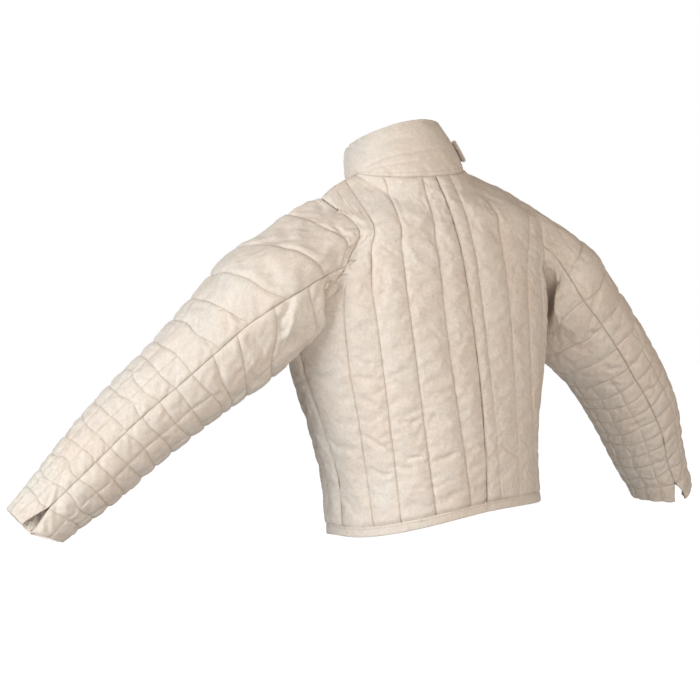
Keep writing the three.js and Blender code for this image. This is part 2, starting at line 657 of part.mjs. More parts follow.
const surfaces = {};
const bodyGrids = { front: {}, back: {} };
const marks = [];
for (const side of ['left', 'right']) {
  surfaces[side] = { front: bodySurface('front', side), back: bodySurface('back', side) };
  for (const face of ['front', 'back']) {
    const grid = bodyGrid(face, side, surfaces[side][face]);
    bodyGrids[face][side] = grid;
    const edges = { start: true, end: true, high: true };
    marks.push(...sewnEdges(`${face}_${side}`, grid, edges));
  }
}
const sleeveGrids = {};
for (const side of ['left', 'right']) {
  const surface = sleeveSurface(side, surfaces[side]);
  for (const half of ['outer', 'under']) {
    const grid = sleeveGrid(side, half, surface);
    const piece = `sleeve_${side}_${half}`;
    sleeveGrids[piece] = grid;
    marks.push(...sewnEdges(piece, grid, { start: true, end: true, low: true }));
  }
}
const collar = collarGrid();
marks.push(...sewnEdges('collar', collar, { low: true, start: true, end: true }));
joinSeams(marks);

const BODY_INNER_ROWS = everyOne(BODY_ROWS.length - 1);
const bodyWall = { wall: PAD, innerRows: BODY_INNER_ROWS, innerColumns: BODY_INNER_COLUMNS };
for (const face of ['back', 'front']) {
  for (const side of ['left', 'right']) {
    addPiece(`${face}_${side}`, wallGeometry(bodyGrids[face][side], bodyWall), CLOTH);
  }
}
const isInnerRow = (k) => ROOT_ROWS.includes(k) || k % (2 * CELL_STEPS) === 0;
const innerRows = SLEEVE_ROWS.map((_, k) => k).filter(isInnerRow);
for (const [piece, grid] of Object.entries(sleeveGrids)) {
  const innerColumns = everyOne(grid[0].length - 1);
  addPiece(piece, wallGeometry(grid, { wall: PAD, innerRows, innerColumns }), CLOTH);
}
const quarter = BODY_INNER_COLUMNS.filter((c) => c <= CORNER_COLUMN);
const ahead = quarter.slice(0, -1).reverse().map((c) => 2 * CORNER_COLUMN - c);
const halfway = [...quarter, ...ahead];
const collarColumns = [...halfway.slice(1).reverse().map((c) => -c), ...halfway]
  .map((c) => c + 2 * CORNER_COLUMN);
const collarWall = { wall: COLLAR.wall, innerRows: COLLAR.innerRows, innerColumns: collarColumns };
addPiece('collar', wallGeometry(collar, collarWall), CLOTH);
const flap = collarFlapGrid();
const flapWall = {
  wall: COLLAR_FLAP.wall,
  innerRows: everyOne(COLLAR_FLAP.rows),
  innerColumns: everyOne(COLLAR_FLAP.steps),
};
addPiece('collar_flap', wallGeometry(flap, flapWall), CLOTH);
const hem = hemGrid(bodyGrids);
const hemColumns = everyOne(hem[0].length - 1);
const hemWall = { wall: HEM_BAND.thick, innerRows: [0, 1], innerColumns: hemColumns };
addPiece('hem_binding', wallGeometry(hem, hemWall), BINDING);
const fly = flyGrid(bodyGrids);
const flyWall = { wall: FLY.thick, innerRows: everyOne(fly.length - 1), innerColumns: [0, 1, 2] };
addPiece('front_fly', wallGeometry(fly, flyWall), CLOTH);

export default group;
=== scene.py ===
import math

import bmesh
import bpy
import numpy as np
from mathutils import Matrix, Vector
from mathutils.kdtree import KDTree


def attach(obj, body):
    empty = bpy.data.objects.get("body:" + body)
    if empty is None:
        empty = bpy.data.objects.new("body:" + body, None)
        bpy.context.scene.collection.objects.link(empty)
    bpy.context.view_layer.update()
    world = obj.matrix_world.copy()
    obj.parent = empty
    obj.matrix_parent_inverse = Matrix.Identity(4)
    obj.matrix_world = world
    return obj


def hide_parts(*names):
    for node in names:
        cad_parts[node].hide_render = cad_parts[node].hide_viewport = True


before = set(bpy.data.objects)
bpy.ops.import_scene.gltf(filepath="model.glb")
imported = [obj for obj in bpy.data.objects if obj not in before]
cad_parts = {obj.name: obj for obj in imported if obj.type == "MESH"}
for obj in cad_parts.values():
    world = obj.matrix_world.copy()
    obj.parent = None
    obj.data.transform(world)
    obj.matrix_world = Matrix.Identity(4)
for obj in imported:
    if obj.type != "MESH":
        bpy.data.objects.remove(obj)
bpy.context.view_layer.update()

MM = 0.001

# ---- The jacket's form: the same driving dimensions as its solids ----
ROUNDNESS = 2.3  # power of the body's level outlines
UNDERARM = 0.62  # share of the body's height at which the armhole starts
ARMHOLE_BOW = 1.4  # how far the rounded bottom of the armhole is bowed
NECK_CORNER = 0.41  # share of the top edge that is neckline
LEVEL_SAMPLES = 400

LEVEL = ("v", "mid", "side", "half", "deep", "axis", "turn")
BACK = [
    (0.0, -498, -517, 172, 138, 0, 90),
    (0.16, -423, -438, 169, 145, 0, 90),
    (0.33, -347, -355, 186, 147, 0, 90),
    (0.48, -271, -271, 208, 146, 0, 90),
    (0.62, -195, -185, 224, 141, 0, 90),
]
FRONT = [
    (0.0, -554, -517, 172, -133, 0, 90),
    (0.16, -458, -438, 169, -137, 0, 90),
    (0.33, -360, -355, 186, -138, 0, 90),
    (0.48, -271, -271, 208, -135, 0, 90),
    (0.62, -200, -185, 224, -131, 0, 90),
]
SHOULDERS = {
    ("back", "left"): [
        (0.72, -142, -142, 214, 135, 0, 60),
        (0.82, -90, -103, 198, 124, 5, 52),
        (0.91, -43, -66, 187, 107, 11, 47),
    ],
    ("front", "left"): [
        (0.72, -147, -142, 209, -122, 0, 55),
        (0.82, -105, -103, 192, -106, 0, 48),
        (0.91, -71, -66, 180, -85, 5, 48),
    ],
    ("back", "right"): [
        (0.72, -142, -144, 228, 135, 0, 60),
        (0.82, -90, -102, 236, 124, 5, 57),
        (0.91, -43, -70, 232, 107, 11, 62),
    ],
    ("front", "right"): [
        (0.72, -147, -142, 214, -122, 0, 56),
        (0.82, -105, -103, 218, -106, 0, 52),
        (0.91, -71, -72, 224, -85, 5, 58),
    ],
}
SHOULDER_TIP = {"left": (157, 10, -16), "right": (208, 14, -40)}
NECK = {"half": 95, "back": 84, "front": -66, "axis": 10}
NECK_HEIGHT = {"back": 0, "side": 14, "front": -43}
SHOULDER_RISE = 3

# Where the rows of stitches run down the body: how far to the side of the centre line each of
# the first four lies, at shares of the height. The fifth lies midway from there to the side edge.
BACK_LINES = {
    "left": [
        (0.0, (29, 84, 130, 157)),
        (0.16, (36, 90.5, 132, 158)),
        (0.33, (42.5, 96, 139, 169)),
        (0.48, (47, 100.5, 145.5, 182)),
        (0.62, (46.5, 102, 149, 187)),
        (0.74, (43, 99, 145, 172)),
        (0.84, (37, 92.5, 134, 149)),
        (0.92, (30, 83, 121, 134)),
        (0.96, (27, 74, 117, 132)),
        (1.0, (23, 75, 113, 131)),
    ],
    "right": [
        (0.0, (27, 65, 116, 143)),
        (0.16, (23, 65, 113, 143)),
        (0.33, (20.5, 68, 113, 152)),
        (0.48, (20, 71, 115, 163)),
        (0.62, (21.5, 76, 123, 171)),
        (0.74, (23.5, 80, 139, 178)),
        (0.84, (25.5, 84.5, 158, 185)),
        (0.92, (27, 86, 170, 190)),
        (1.0, (28, 74, 178, 194)),
    ],
}
FRONT_LINES = [
    (0.0, (27, 72, 112, 142)),
    (0.16, (29, 75, 115, 145)),
    (0.33, (32, 81, 124, 157)),
    (0.48, (35, 88, 135, 172)),
    (0.62, (36, 92, 141, 178)),
    (0.74, (35, 92, 140, 166)),
    (0.84, (32, 86, 130, 146)),
    (0.92, (28, 78, 120, 133)),
    (1.0, (24, 66, 113, 130)),
]
SHORT_LINES = 3  # the lines from this one on end at the armhole
SHORT_LINES_END = (0.68, 0.76)
# On the right of the back the rows have sunk into the nap near the hem.
FADING = {"back_right": {"over": (0.28, 0.52), "left": 0.3}}

# The sleeves' rings after the armhole: the ring's middle, and its radii up and back.
SLEEVES = {
    "left": {
        "root": (160, 8, -96),
        "crown": (0.97, -0.05, -0.24),
        "rings": [
            (237, 3, -152, 93, 91),
            (305, -15, -200, 82, 84),
            (378, -39, -256, 72, 74),
            (452, -64, -311, 65.5, 67.5),
            (522, -84, -369, 58, 60),
            (573, -94, -409, 49.5, 50.5),
            (612, -102, -439, 43, 45),
        ],
        "seam": ((0, 0.12, 0.3, 1), (105, 84, 72, 66)),
        "slope": {"outer": 0.045, "under": 0.085},
        "rows": {"outer": (0.075, 0.135, 0.21, 0.295, 0.38), "under": (0.14, 0.235, 0.33, 0.405)},
        # Towards the back seam the first rows slant to the armhole: at these places, by so much.
        "slant": ((0, 0.075, 0.135, 0.23), (0, 0.062, 0.043, 0)),
    },
    "right": {
        "root": (196, 10, -118),
        "crown": (0.82, 0.08, -0.57),
        "rings": [
            (254, 18, -188, 92, 88),
            (302, 15, -239, 84, 85),
            (366, 15, -316, 77, 78),
            (445, -1, -438, 70, 71),
            (468, -9, -494, 61, 62),
            (496, -15, -553, 52, 54),
            (502, -17, -568, 50, 52),
        ],
        "seam": ((0, 0.14, 0.5, 1), (105, 99, 108, 103)),
        "slope": {"outer": 0.04, "under": 0.0},
        "rows": {"outer": (0.11, 0.2, 0.29, 0.38), "under": (0.2, 0.3, 0.39)},
        "slant": ((0, 1), (0, 0)),
    },
}
FRONT_SEAM = -120  # the front seam's place round the sleeve, in degrees
ELBOW = 0.47  # from here on the sleeves are quilted in small squares
FOREARM = {"pitch": 0.0513, "rows": 10}
# How far the rows of a sleeve stray, in millimetres, and where that begins and ends along it.
UNEVEN = {"along": 2.6, "across": 2.2, "length": 58, "begins": (0.02, 0.09), "ends": (0.9, 0.99)}
SLANTED = (0.4, 1)  # the share of the outer sleeve's width over which its first rows slant
SLIT = {"from": 0.915, "outer": 11, "under": 9, "curl": {"outer": 5, "under": -2.5}, "width": 14}
CUFF_RISE = {"from": 0.85, "share": 0.035}
STUB = {"length": 22, "clear": 14, "free_above": -128, "clear_below": -158}

COLLAR_TOP = {"y": -21, "half": 77, "deep": 66, "z": 73, "slope_x": -0.069, "slope_y": 0.314}
COLLAR_BULGE = 3
COLLAR_MESH = {"radius": 88, "height": 92}
COLLAR_LINES = (0.08, 0.93)  # rows of stitches, as shares of the collar's height
FLAP = {"from": 168, "to": 297, "low": 0.13, "high": 0.6, "wall": 4.0, "clear": 0.5, "stand": 2.2,
        "radius": 95, "height": 50, "inset": 8}

# The creases: the points that each runs through, as shares across and up its
# piece, then its width and its height in millimetres. One with a height below 0 is a trough.
CREASES = {
    "back_left": [
        ([(0.51, 0.341), (0.44, 0.331), (0.37, 0.336)], 4, -1.4),
        ([(0.52, 0.233), (0.46, 0.218), (0.38, 0.223)], 4, -1.7),
        ([(0.56, 0.19), (0.5, 0.19), (0.43, 0.198)], 5, -1.2),
        ([(0.35, 0.201), (0.27, 0.201), (0.19, 0.213)], 5, -1.3),
        ([(0.34, 0.333), (0.28, 0.341)], 5, -0.9),
        ([(0.73, 0.318), (0.65, 0.286), (0.56, 0.241)], 4.5, -1.8),
        ([(0.73, 0.213), (0.65, 0.183), (0.56, 0.183)], 4.5, -1.2),
        ([(0.65, 0.509), (0.6, 0.499), (0.55, 0.499)], 4, -1.0),
        ([(0.69, 0.471), (0.62, 0.461), (0.55, 0.461)], 4.5, -1.1),
        ([(0.54, 0.441), (0.47, 0.444), (0.4, 0.426)], 5, -0.8),
        ([(0.69, 0.416), (0.64, 0.404), (0.57, 0.383)], 5, -0.9),
        ([(0.26, 0.396), (0.18, 0.409), (0.14, 0.396)], 5, -0.8),
        ([(0.77, 0.722), (0.8, 0.782), (0.86, 0.84)], 4, -1.2),
        ([(0.87, 0.66), (0.95, 0.717), (0.97, 0.764)], 5, -2.0),
        ([(0.77, 0.667), (0.9, 0.714), (0.94, 0.769)], 5, 1.4),
        ([(0.76, 0.779), (0.62, 0.702), (0.47, 0.629)], 6, -0.9),
        ([(0.32, 0.865), (0.23, 0.799), (0.2, 0.749)], 7, -0.7),
        ([(0.56, 0.865), (0.48, 0.799), (0.38, 0.717)], 7, 0.8),
        ([(0.39, 0.947), (0.53, 0.912), (0.54, 0.88)], 5, -0.8),
        ([(0.97, 0.5), (0.86, 0.47), (0.78, 0.48)], 6, -1.2),
        ([(0.98, 0.3), (0.88, 0.27), (0.8, 0.29)], 5, -1.0),
    ],
    "back_right": [
        ([(0.11, 0.208), (0.18, 0.185), (0.26, 0.16)], 4, -1.3),
        ([(0.27, 0.228), (0.36, 0.195), (0.47, 0.178)], 5, -1.0),
        ([(0.62, 0.724), (0.64, 0.704), (0.61, 0.674)], 4, -1.5),
        ([(0.61, 0.799), (0.69, 0.762), (0.77, 0.722)], 5, -1.0),
        ([(0.3, 0.855), (0.36, 0.799), (0.39, 0.732)], 7, -0.7),
        ([(0.19, 0.544), (0.2, 0.484), (0.18, 0.421)], 7, -0.6),
        ([(0.3, 0.36), (0.38, 0.35), (0.45, 0.36)], 6, -0.8),
        ([(0.9, 0.55), (0.8, 0.52), (0.72, 0.53)], 6, -1.3),
        ([(0.86, 0.38), (0.74, 0.36), (0.66, 0.38)], 5, -1.0),
        ([(0.92, 0.2), (0.82, 0.17), (0.7, 0.18)], 5, -1.2),
        ([(0.95, 0.66), (0.86, 0.62), (0.76, 0.61)], 5, -1.5),
        ([(0.08, 0.36), (0.14, 0.35), (0.2, 0.352)], 5, -0.7),
    ],
    "front_left": [
        ([(0.4, 0.22), (0.48, 0.2), (0.56, 0.21)], 5, -1.4),
        ([(0.18, 0.3), (0.26, 0.29), (0.34, 0.3)], 5, -1.0),
        ([(0.6, 0.34), (0.68, 0.31), (0.76, 0.32)], 5, -1.2),
        ([(0.95, 0.62), (0.84, 0.6), (0.74, 0.57)], 5, -1.8),
        ([(0.96, 0.68), (0.86, 0.68), (0.77, 0.64)], 5, 1.2),
        ([(0.5, 0.75), (0.6, 0.8), (0.7, 0.86)], 6, -0.9),
        ([(0.36, 0.45), (0.44, 0.44), (0.52, 0.46)], 6, -0.9),
        ([(0.2, 0.62), (0.28, 0.6), (0.34, 0.61)], 7, -0.7),
        ([(0.92, 0.4), (0.84, 0.38), (0.77, 0.39)], 5, -1.1),
    ],
    "front_right": [
        ([(0.36, 0.18), (0.44, 0.2), (0.54, 0.19)], 5, -1.3),
        ([(0.16, 0.42), (0.25, 0.43), (0.33, 0.41)], 5, -0.9),
        ([(0.58, 0.3), (0.66, 0.33), (0.75, 0.31)], 5, -1.3),
        ([(0.96, 0.6), (0.85, 0.57), (0.73, 0.56)], 5, -2.0),
        ([(0.96, 0.65), (0.86, 0.63), (0.75, 0.62)], 5, 1.3),
        ([(0.45, 0.72), (0.56, 0.78), (0.66, 0.82)], 6, -0.9),
        ([(0.6, 0.5), (0.69, 0.48), (0.77, 0.49)], 6, -1.0),
        ([(0.94, 0.44), (0.86, 0.41), (0.79, 0.42)], 5, -1.2),
    ],
    "sleeve_left_outer": [
        ([(0.62, 0.078), (0.68, 0.098), (0.73, 0.118)], 4, 1.1),
        ([(0.6, 0.02), (0.63, 0.045), (0.66, 0.068)], 4, -1.0),
        ([(0.5, 0.02), (0.52, 0.04), (0.54, 0.063)], 4, -0.9),
        ([(0.65, 0.123), (0.74, 0.13), (0.79, 0.138)], 5, -0.9),
        ([(0.84, 0.03), (0.88, 0.045), (0.93, 0.07)], 3.5, -2.0),
        ([(0.89, 0.378), (0.93, 0.386), (0.96, 0.393)], 3, -1.0),
        ([(0.9, 0.286), (0.94, 0.296), (0.98, 0.311)], 4, -0.8),
        ([(0.68, 0.058), (0.74, 0.065), (0.79, 0.063)], 5, -0.8),
        ([(0.83, 0.17), (0.88, 0.183), (0.93, 0.188)], 5, -0.7),
        ([(0.65, 0.316), (0.77, 0.313), (0.85, 0.326)], 6, -0.8),
        ([(0.2, 0.03), (0.24, 0.06), (0.26, 0.09)], 4, -1.2),
        ([(0.1, 0.15), (0.18, 0.16), (0.25, 0.155)], 5, -1.3),
        ([(0.08, 0.25), (0.17, 0.24), (0.24, 0.25)], 5, -1.2),
        ([(0.3, 0.34), (0.4, 0.335), (0.47, 0.345)], 6, -0.8),
        ([(0.05, 0.42), (0.12, 0.43), (0.2, 0.425)], 4, -1.3),
    ],
    "sleeve_left_under": [
        ([(0.02, 0.18), (0.04, 0.207), (0.08, 0.229), (0.19, 0.228)], 4.5, -3.0),
        ([(0.03, 0.17), (0.08, 0.197), (0.15, 0.212), (0.26, 0.21)], 4.5, 1.6),
        ([(0.03, 0.276), (0.13, 0.271), (0.28, 0.256)], 5, -1.4),
        ([(0.09, 0.323), (0.21, 0.311), (0.36, 0.301)], 4, -1.0),
        ([(0.04, 0.093), (0.09, 0.125), (0.17, 0.138)], 5, -1.5),
        ([(0.02, 0.045), (0.08, 0.07), (0.13, 0.1)], 4, -1.7),
        ([(0.04, 0.396), (0.13, 0.404), (0.26, 0.404)], 4, -1.2),
        ([(0.5, 0.1), (0.58, 0.13), (0.66, 0.12)], 5, -1.8),
        ([(0.6, 0.2), (0.7, 0.21), (0.82, 0.195)], 5, -1.4),
        ([(0.5, 0.3), (0.64, 0.29), (0.74, 0.3)], 5, -1.3),
        ([(0.7, 0.38), (0.82, 0.39), (0.93, 0.375)], 4, -1.2),
    ],
    "sleeve_right_outer": [
        ([(0.99, 0.251), (0.96, 0.222), (0.9, 0.201)], 3.5, -2.6),
        ([(0.94, 0.088), (0.92, 0.105), (0.91, 0.128)], 4, -1.5),
        ([(0.99, 0.03), (0.96, 0.05), (0.9, 0.085)], 3.5, -2.2),
        ([(0.98, 0.08), (0.94, 0.09), (0.87, 0.085)], 3.5, -1.6),
        ([(0.97, 0.118), (0.97, 0.15), (0.95, 0.183)], 4, -1.2),
        ([(0.99, 0.3), (0.95, 0.308), (0.88, 0.323)], 4, -1.3),
        ([(0.98, 0.34), (0.92, 0.351), (0.84, 0.358)], 5, -1.0),
        ([(0.99, 0.46), (0.97, 0.471), (0.92, 0.489)], 4, -1.1),
        ([(0.99, 0.555), (0.96, 0.566), (0.91, 0.589)], 4, -1.1),
        ([(0.7, 0.05), (0.76, 0.07), (0.82, 0.075)], 5, -0.9),
        ([(0.06, 0.1), (0.14, 0.12), (0.22, 0.11)], 5, -1.6),
        ([(0.05, 0.34), (0.14, 0.35), (0.24, 0.34)], 5, -1.5),
        ([(0.3, 0.24), (0.42, 0.25), (0.52, 0.24)], 6, -0.8),
        ([(0.55, 0.16), (0.63, 0.15), (0.7, 0.16)], 6, -0.8),
        ([(0.04, 0.52), (0.13, 0.53), (0.2, 0.525)], 4, -1.3),
    ],
    "sleeve_right_under": [
        ([(0.12, 0.273), (0.08, 0.301), (0.04, 0.326)], 4, -1.5),
        ([(0.3, 0.281), (0.24, 0.321), (0.12, 0.321)], 5, -1.4),
        ([(0.43, 0.306), (0.34, 0.343), (0.21, 0.338)], 5, 1.0),
        ([(0.21, 0.13), (0.14, 0.125), (0.04, 0.143)], 5, -1.3),
        ([(0.19, 0.388), (0.15, 0.426), (0.05, 0.444)], 4, -1.3),
        ([(0.26, 0.469), (0.2, 0.496), (0.06, 0.506)], 4, -1.1),
        ([(0.29, 0.654), (0.2, 0.659), (0.06, 0.649)], 4, -1.3),
        ([(0.44, 0.401), (0.34, 0.429), (0.2, 0.431)], 5, -0.9),
        ([(0.3, 0.06), (0.22, 0.08), (0.08, 0.07)], 4.5, -1.8),
        ([(0.9, 0.15), (0.78, 0.16), (0.64, 0.15)], 5, -1.6),
        ([(0.92, 0.34), (0.8, 0.33), (0.66, 0.345)], 5, -1.6),
        ([(0.94, 0.43), (0.84, 0.44), (0.7, 0.43)], 4, -1.3),
    ],
    "collar": [
        ([(0.72, 0.1), (0.67, 0.3), (0.6, 0.42), (0.5, 0.46), (0.4, 0.42)], 3, -1.1),
        ([(0.72, 0.05), (0.66, 0.2), (0.58, 0.27), (0.48, 0.25)], 3, -0.7),
        ([(0.68, 0.6), (0.6, 0.7), (0.5, 0.72)], 6, -0.6),
        ([(0.3, 0.3), (0.24, 0.42), (0.16, 0.44)], 4, -0.9),
        ([(0.86, 0.25), (0.92, 0.4), (0.97, 0.44)], 4, -0.9),
    ],
}

CREASED = {"width": 0.9, "height": 1.9}  # the sizes a crease is laid in, as shares of the table's
CREASE_FADE = (0.25, 0.1, 3)  # of its ends: the least, the step, and the number of steps

# ---- The quilting ----
BODY_WIDTH = 345  # of a quarter of the body, round at the share WIDEST of its height
BODY_HEIGHT = 545
WIDEST = 0.3
SLEEVE_LENGTH = 620
CELLS = {"outer": (7, 40), "under": (5, 34)}  # long channels on the forearm, and their width
BODY_SPACING = 2.6  # of the mesh
FRONT_SPACING = 3.2
SLEEVE_SPACING = 2.8
TRIM_SPACING = {"across": 2.4, "up": 2.2}
GROOVE_WIDTH = 1.0  # of the painted shade along a row of stitches
PAINTED_LINE_SHADE = {  # how much painted shade darkens each row of stitches and each seam
    "line": 0.72, "seam": 0.9, "centre": 1.0, "side": 0.5, "across": 0.6, "long": 0.5, "hem": 0.3,
}
DRAWN = {  # how far each is pulled in, as a share
    "body": 0.92, "sleeve": 0.9, "long": 0.85, "collar": 0.3, "flap": 0.35, "trim": 0.9,
}
BACK_ROWS = 4  # rows of stitches on each half of the back; a half of the front has one more
BESIDE = 1.0  # from a row of stitches to the mesh line next to it
WALL = 5.5  # of the padded cloth, under the rise of its quilting
STITCH_DROP = 3.0  # how far a row of stitches is pulled in below the outer form
PUFF = 3.3  # how high the padding stands above a row of stitches
SLEEVE_PUFF = 2.5
LINE_WIDTH = 4.0  # over which the cloth rises beside a row of stitches
WELT = {"height": 0.5, "from": 2.4, "width": 1.7}  # the seam allowance along one side of a row
SEAM_WIDTH = 4.0
HEM_BAND = {"share": 0.03, "thick": 2.0, "over": 0.2, "sink": 3.4, "reach": (13, 21), "puff": 0.5}
HEM_ROWS = 9
FLY = {"from": 0.12, "to": 0.968, "length": 450, "half": 26, "thick": 2.5, "over": 0.4,
       "sink": 2.0, "reach": (18, 30), "puff": 1.0, "edge": 2}


# ---- Small tools ----
def mix(a, b, share):
    return a + (b - a) * share


def smooth(x, low, high):
    share = np.clip((x - low) / (high - low), 0, 1)
    return share * share * (3 - 2 * share)


def unit(vectors):
    return vectors / np.maximum(np.linalg.norm(vectors, axis=-1, keepdims=True), 1e-9)


def through(knots, points, t, bend=None):
    """A smooth curve through `points` (one for each knot), read at t. `bend` gives a knot's
    index, and the directions before and after it that replace its own by a share."""
    knots = np.asarray(knots, float)
    gaps = np.diff(knots).reshape((-1,) + (1,) * (points.ndim - 1))
    chords = np.diff(points, axis=0) / gaps
    share = gaps[:-1] / (gaps[:-1] + gaps[1:])
    inner = chords[:-1] * (1 - share) + chords[1:] * share
    leaving = np.concatenate([chords[:1], inner, chords[-1:]])
    arriving = leaving.copy()
    if bend:
        knot, weight = bend
        bowed = np.zeros_like(chords[knot])
        bowed[..., 1] = ARMHOLE_BOW * chords[knot][..., 1]
        arriving[knot] = mix(arriving[knot], chords[knot - 1], weight[..., None])
        leaving[knot] = mix(leaving[knot], bowed, weight[..., None])
    t = np.broadcast_to(t, points.shape[1:-1])
    i = np.clip(np.searchsorted(knots[1:-1], t), 0, len(knots) - 2)
    h = (knots[i + 1] - knots[i])[..., None]
    s = (t - knots[i])[..., None] / h

    def pick(table, index):
        return np.take_along_axis(table, index[None, ..., None], axis=0)[0]

    return (
        (2 * s**3 - 3 * s**2 + 1) * pick(points, i)
        + (s**3 - 2 * s**2 + s) * h * pick(leaving, i)
        + (3 * s**2 - 2 * s**3) * pick(points, i + 1)
        + (s**3 - s**2) * h * pick(arriving, i + 1)
    )


def waves(x, y, length, seed, stretch=1.0, count=16):
    """Soft random relief of about -1 to 1. Its bumps are `length` long along x."""
    rng = np.random.default_rng(seed)
    total = np.zeros(np.broadcast(x, y).shape)
    for _ in range(count):
        turn, phase = rng.uniform(0, 2 * math.pi, 2)
        step = 2 * math.pi / (length * rng.uniform(0.7, 1.6))
        total += np.sin(step * (x * math.cos(turn) + y * math.sin(turn) / stretch) + phase)
    return total / math.sqrt(count)


# ---- The surfaces ----
def level_curve(level, u):
    row = dict(zip(LEVEL, level))
    angle = np.radians(np.linspace(0, row["turn"], LEVEL_SAMPLES + 1))
    power = 2 / ROUNDNESS
    x = row["half"] * np.sin(angle) ** power
    y = row["axis"] + (row["deep"] - row["axis"]) * np.cos(angle).clip(0) ** power
    length = np.concatenate([[0], np.cumsum(np.hypot(np.diff(x), np.diff(y)))])
    at = u * length[-1]
    z = mix(row["mid"], row["side"], u * u * (3 - 2 * u))
    return np.stack([np.interp(at, length, x), np.interp(at, length, y), z], -1)


def neck_point(share, face):
    angle = share * math.pi / 2
    depth = NECK[face] - NECK["axis"]
    x = NECK["half"] * np.sin(angle)
    y = NECK["axis"] + depth * np.cos(angle)
    z = mix(NECK_HEIGHT[face], NECK_HEIGHT["side"], 1 - np.cos(angle))
    return np.stack([x, y, z], -1)


def top_edge(u, face, side):
    neck = neck_point(np.minimum(u / NECK_CORNER, 1), face)
    share = np.clip((u - NECK_CORNER) / (1 - NECK_CORNER), 0, 1)[..., None]
    seam = mix(neck, np.array(SHOULDER_TIP[side], float), share)
    seam[..., 2] += SHOULDER_RISE * np.sin(math.pi * share[..., 0])
    return seam


def mirrored(points, side):
    return points * np.array([-1 if side == "right" else 1, 1, 1])


def body_surface(face, side, u, v):
    """A quarter of the body: u from the centre line to the side edge, v from the hem up."""
    u, v = np.broadcast_arrays(u, v)
    levels = (FRONT if face == "front" else BACK) + SHOULDERS[face, side]
    knots = [level[0] for level in levels] + [1]
    points = np.stack([level_curve(level, u) for level in levels] + [top_edge(u, face, side)])
    return mirrored(through(knots, points, v, (knots.index(UNDERARM), u**4)), side)


def armhole_point(side, angle):
    turned = (angle + 180) % 360 - 180
    v = 1 - (1 - UNDERARM) * np.abs(turned) / 180
    edge = np.ones_like(v)
    behind = body_surface("back", side, edge, v)
    ahead = body_surface("front", side, edge, v)
    return np.where((turned < 0)[..., None], ahead, behind)


def clear_of_body(points):
    """Moves points of a sleeve out sideways until they are clear of the body's outline."""
    x, y, z = np.moveaxis(points, -1, 0)

    def read(column):
        k = LEVEL.index(column)
        sides = [np.interp(z, [row[1] for row in table], [abs(row[k]) for row in table])
                 for table in (FRONT, BACK)]
        return np.where(y < 0, sides[0], sides[1]) + STUB["clear"]

    across = np.minimum(np.abs(y) / read("deep"), 1)
    edge = read("half") * (1 - across**ROUNDNESS) ** (1 / ROUNDNESS)
    firm = 1 - smooth(z, STUB["clear_below"], STUB["free_above"])
    moved = points.copy()
    moved[..., 0] += firm * np.maximum(edge - x, 0)
    return moved


def sleeve_surface(side, angle, s):
    """A sleeve: angle 0 on top and 90 behind, s from the armhole to the cuff."""
    angle, s = np.broadcast_arrays(angle, s)
    spec = SLEEVES[side]
    middles = np.array([spec["root"]] + [ring[:3] for ring in spec["rings"]], float)
    lengths = np.concatenate([[0], np.cumsum(np.linalg.norm(np.diff(middles, axis=0), axis=1))])
    knots = np.concatenate([[0, STUB["length"]], lengths[1:]]) / lengths[-1]
    cosine = np.cos(np.radians(angle))[..., None]
    sine = np.sin(np.radians(angle))[..., None]
    start = mirrored(armhole_point(side, angle), side)
    away = unit(middles[1] - middles[0])
    leaving = mix(np.array(spec["crown"]), away, (1 - cosine) / 2)
    points = [start, clear_of_body(start + leaving * STUB["length"])]
    for k, (*middle, up_radius, back_radius) in enumerate(spec["rings"]):
        along = unit(middles[min(k + 2, len(middles) - 1)] - middles[k])
        back = unit(np.array([0, 1, 0]) - along * along[1])
        up = unit(np.cross(along, back))
        ring = np.array(middle) + up * up_radius * cosine + back * back_radius * sine
        points.append(clear_of_body(ring))
    return mirrored(through(knots, np.stack(points), s), side)


def collar_surface(angle, k):
    """The collar: angle 0 behind and 90 on the left, k from the base to the top edge."""
    angle, k = np.broadcast_arrays(angle, k)
    turned = (angle + 180) % 360 - 180
    around = np.abs(turned)
    ahead = around > 90
    share = np.where(ahead, 180 - around, around) / 90
    base = np.where(ahead[..., None], neck_point(share, "front"), neck_point(share, "back"))
    base[..., 0] *= np.where(turned < 0, -1, 1)
    turn = np.radians(turned)
    top = COLLAR_TOP
    x = top["half"] * np.sin(turn)
    y = top["y"] + top["deep"] * np.cos(turn)
    edge = np.stack([x, y, top["z"] + top["slope_x"] * x + top["slope_y"] * y], -1)
    out = np.stack([np.sin(turn), np.cos(turn), np.zeros_like(turn)], -1)
    return mix(base, edge, k[..., None]) + out * (COLLAR_BULGE * np.sin(math.pi * k))[..., None]


# ---- A piece of cloth ----
def arc_lengths(at, axis):
    steps = np.linalg.norm(np.diff(at, axis=axis), axis=-1)
    start = np.zeros_like(np.take(steps, [0], axis=axis))
    return np.concatenate([start, np.cumsum(steps, axis=axis)], axis=axis)


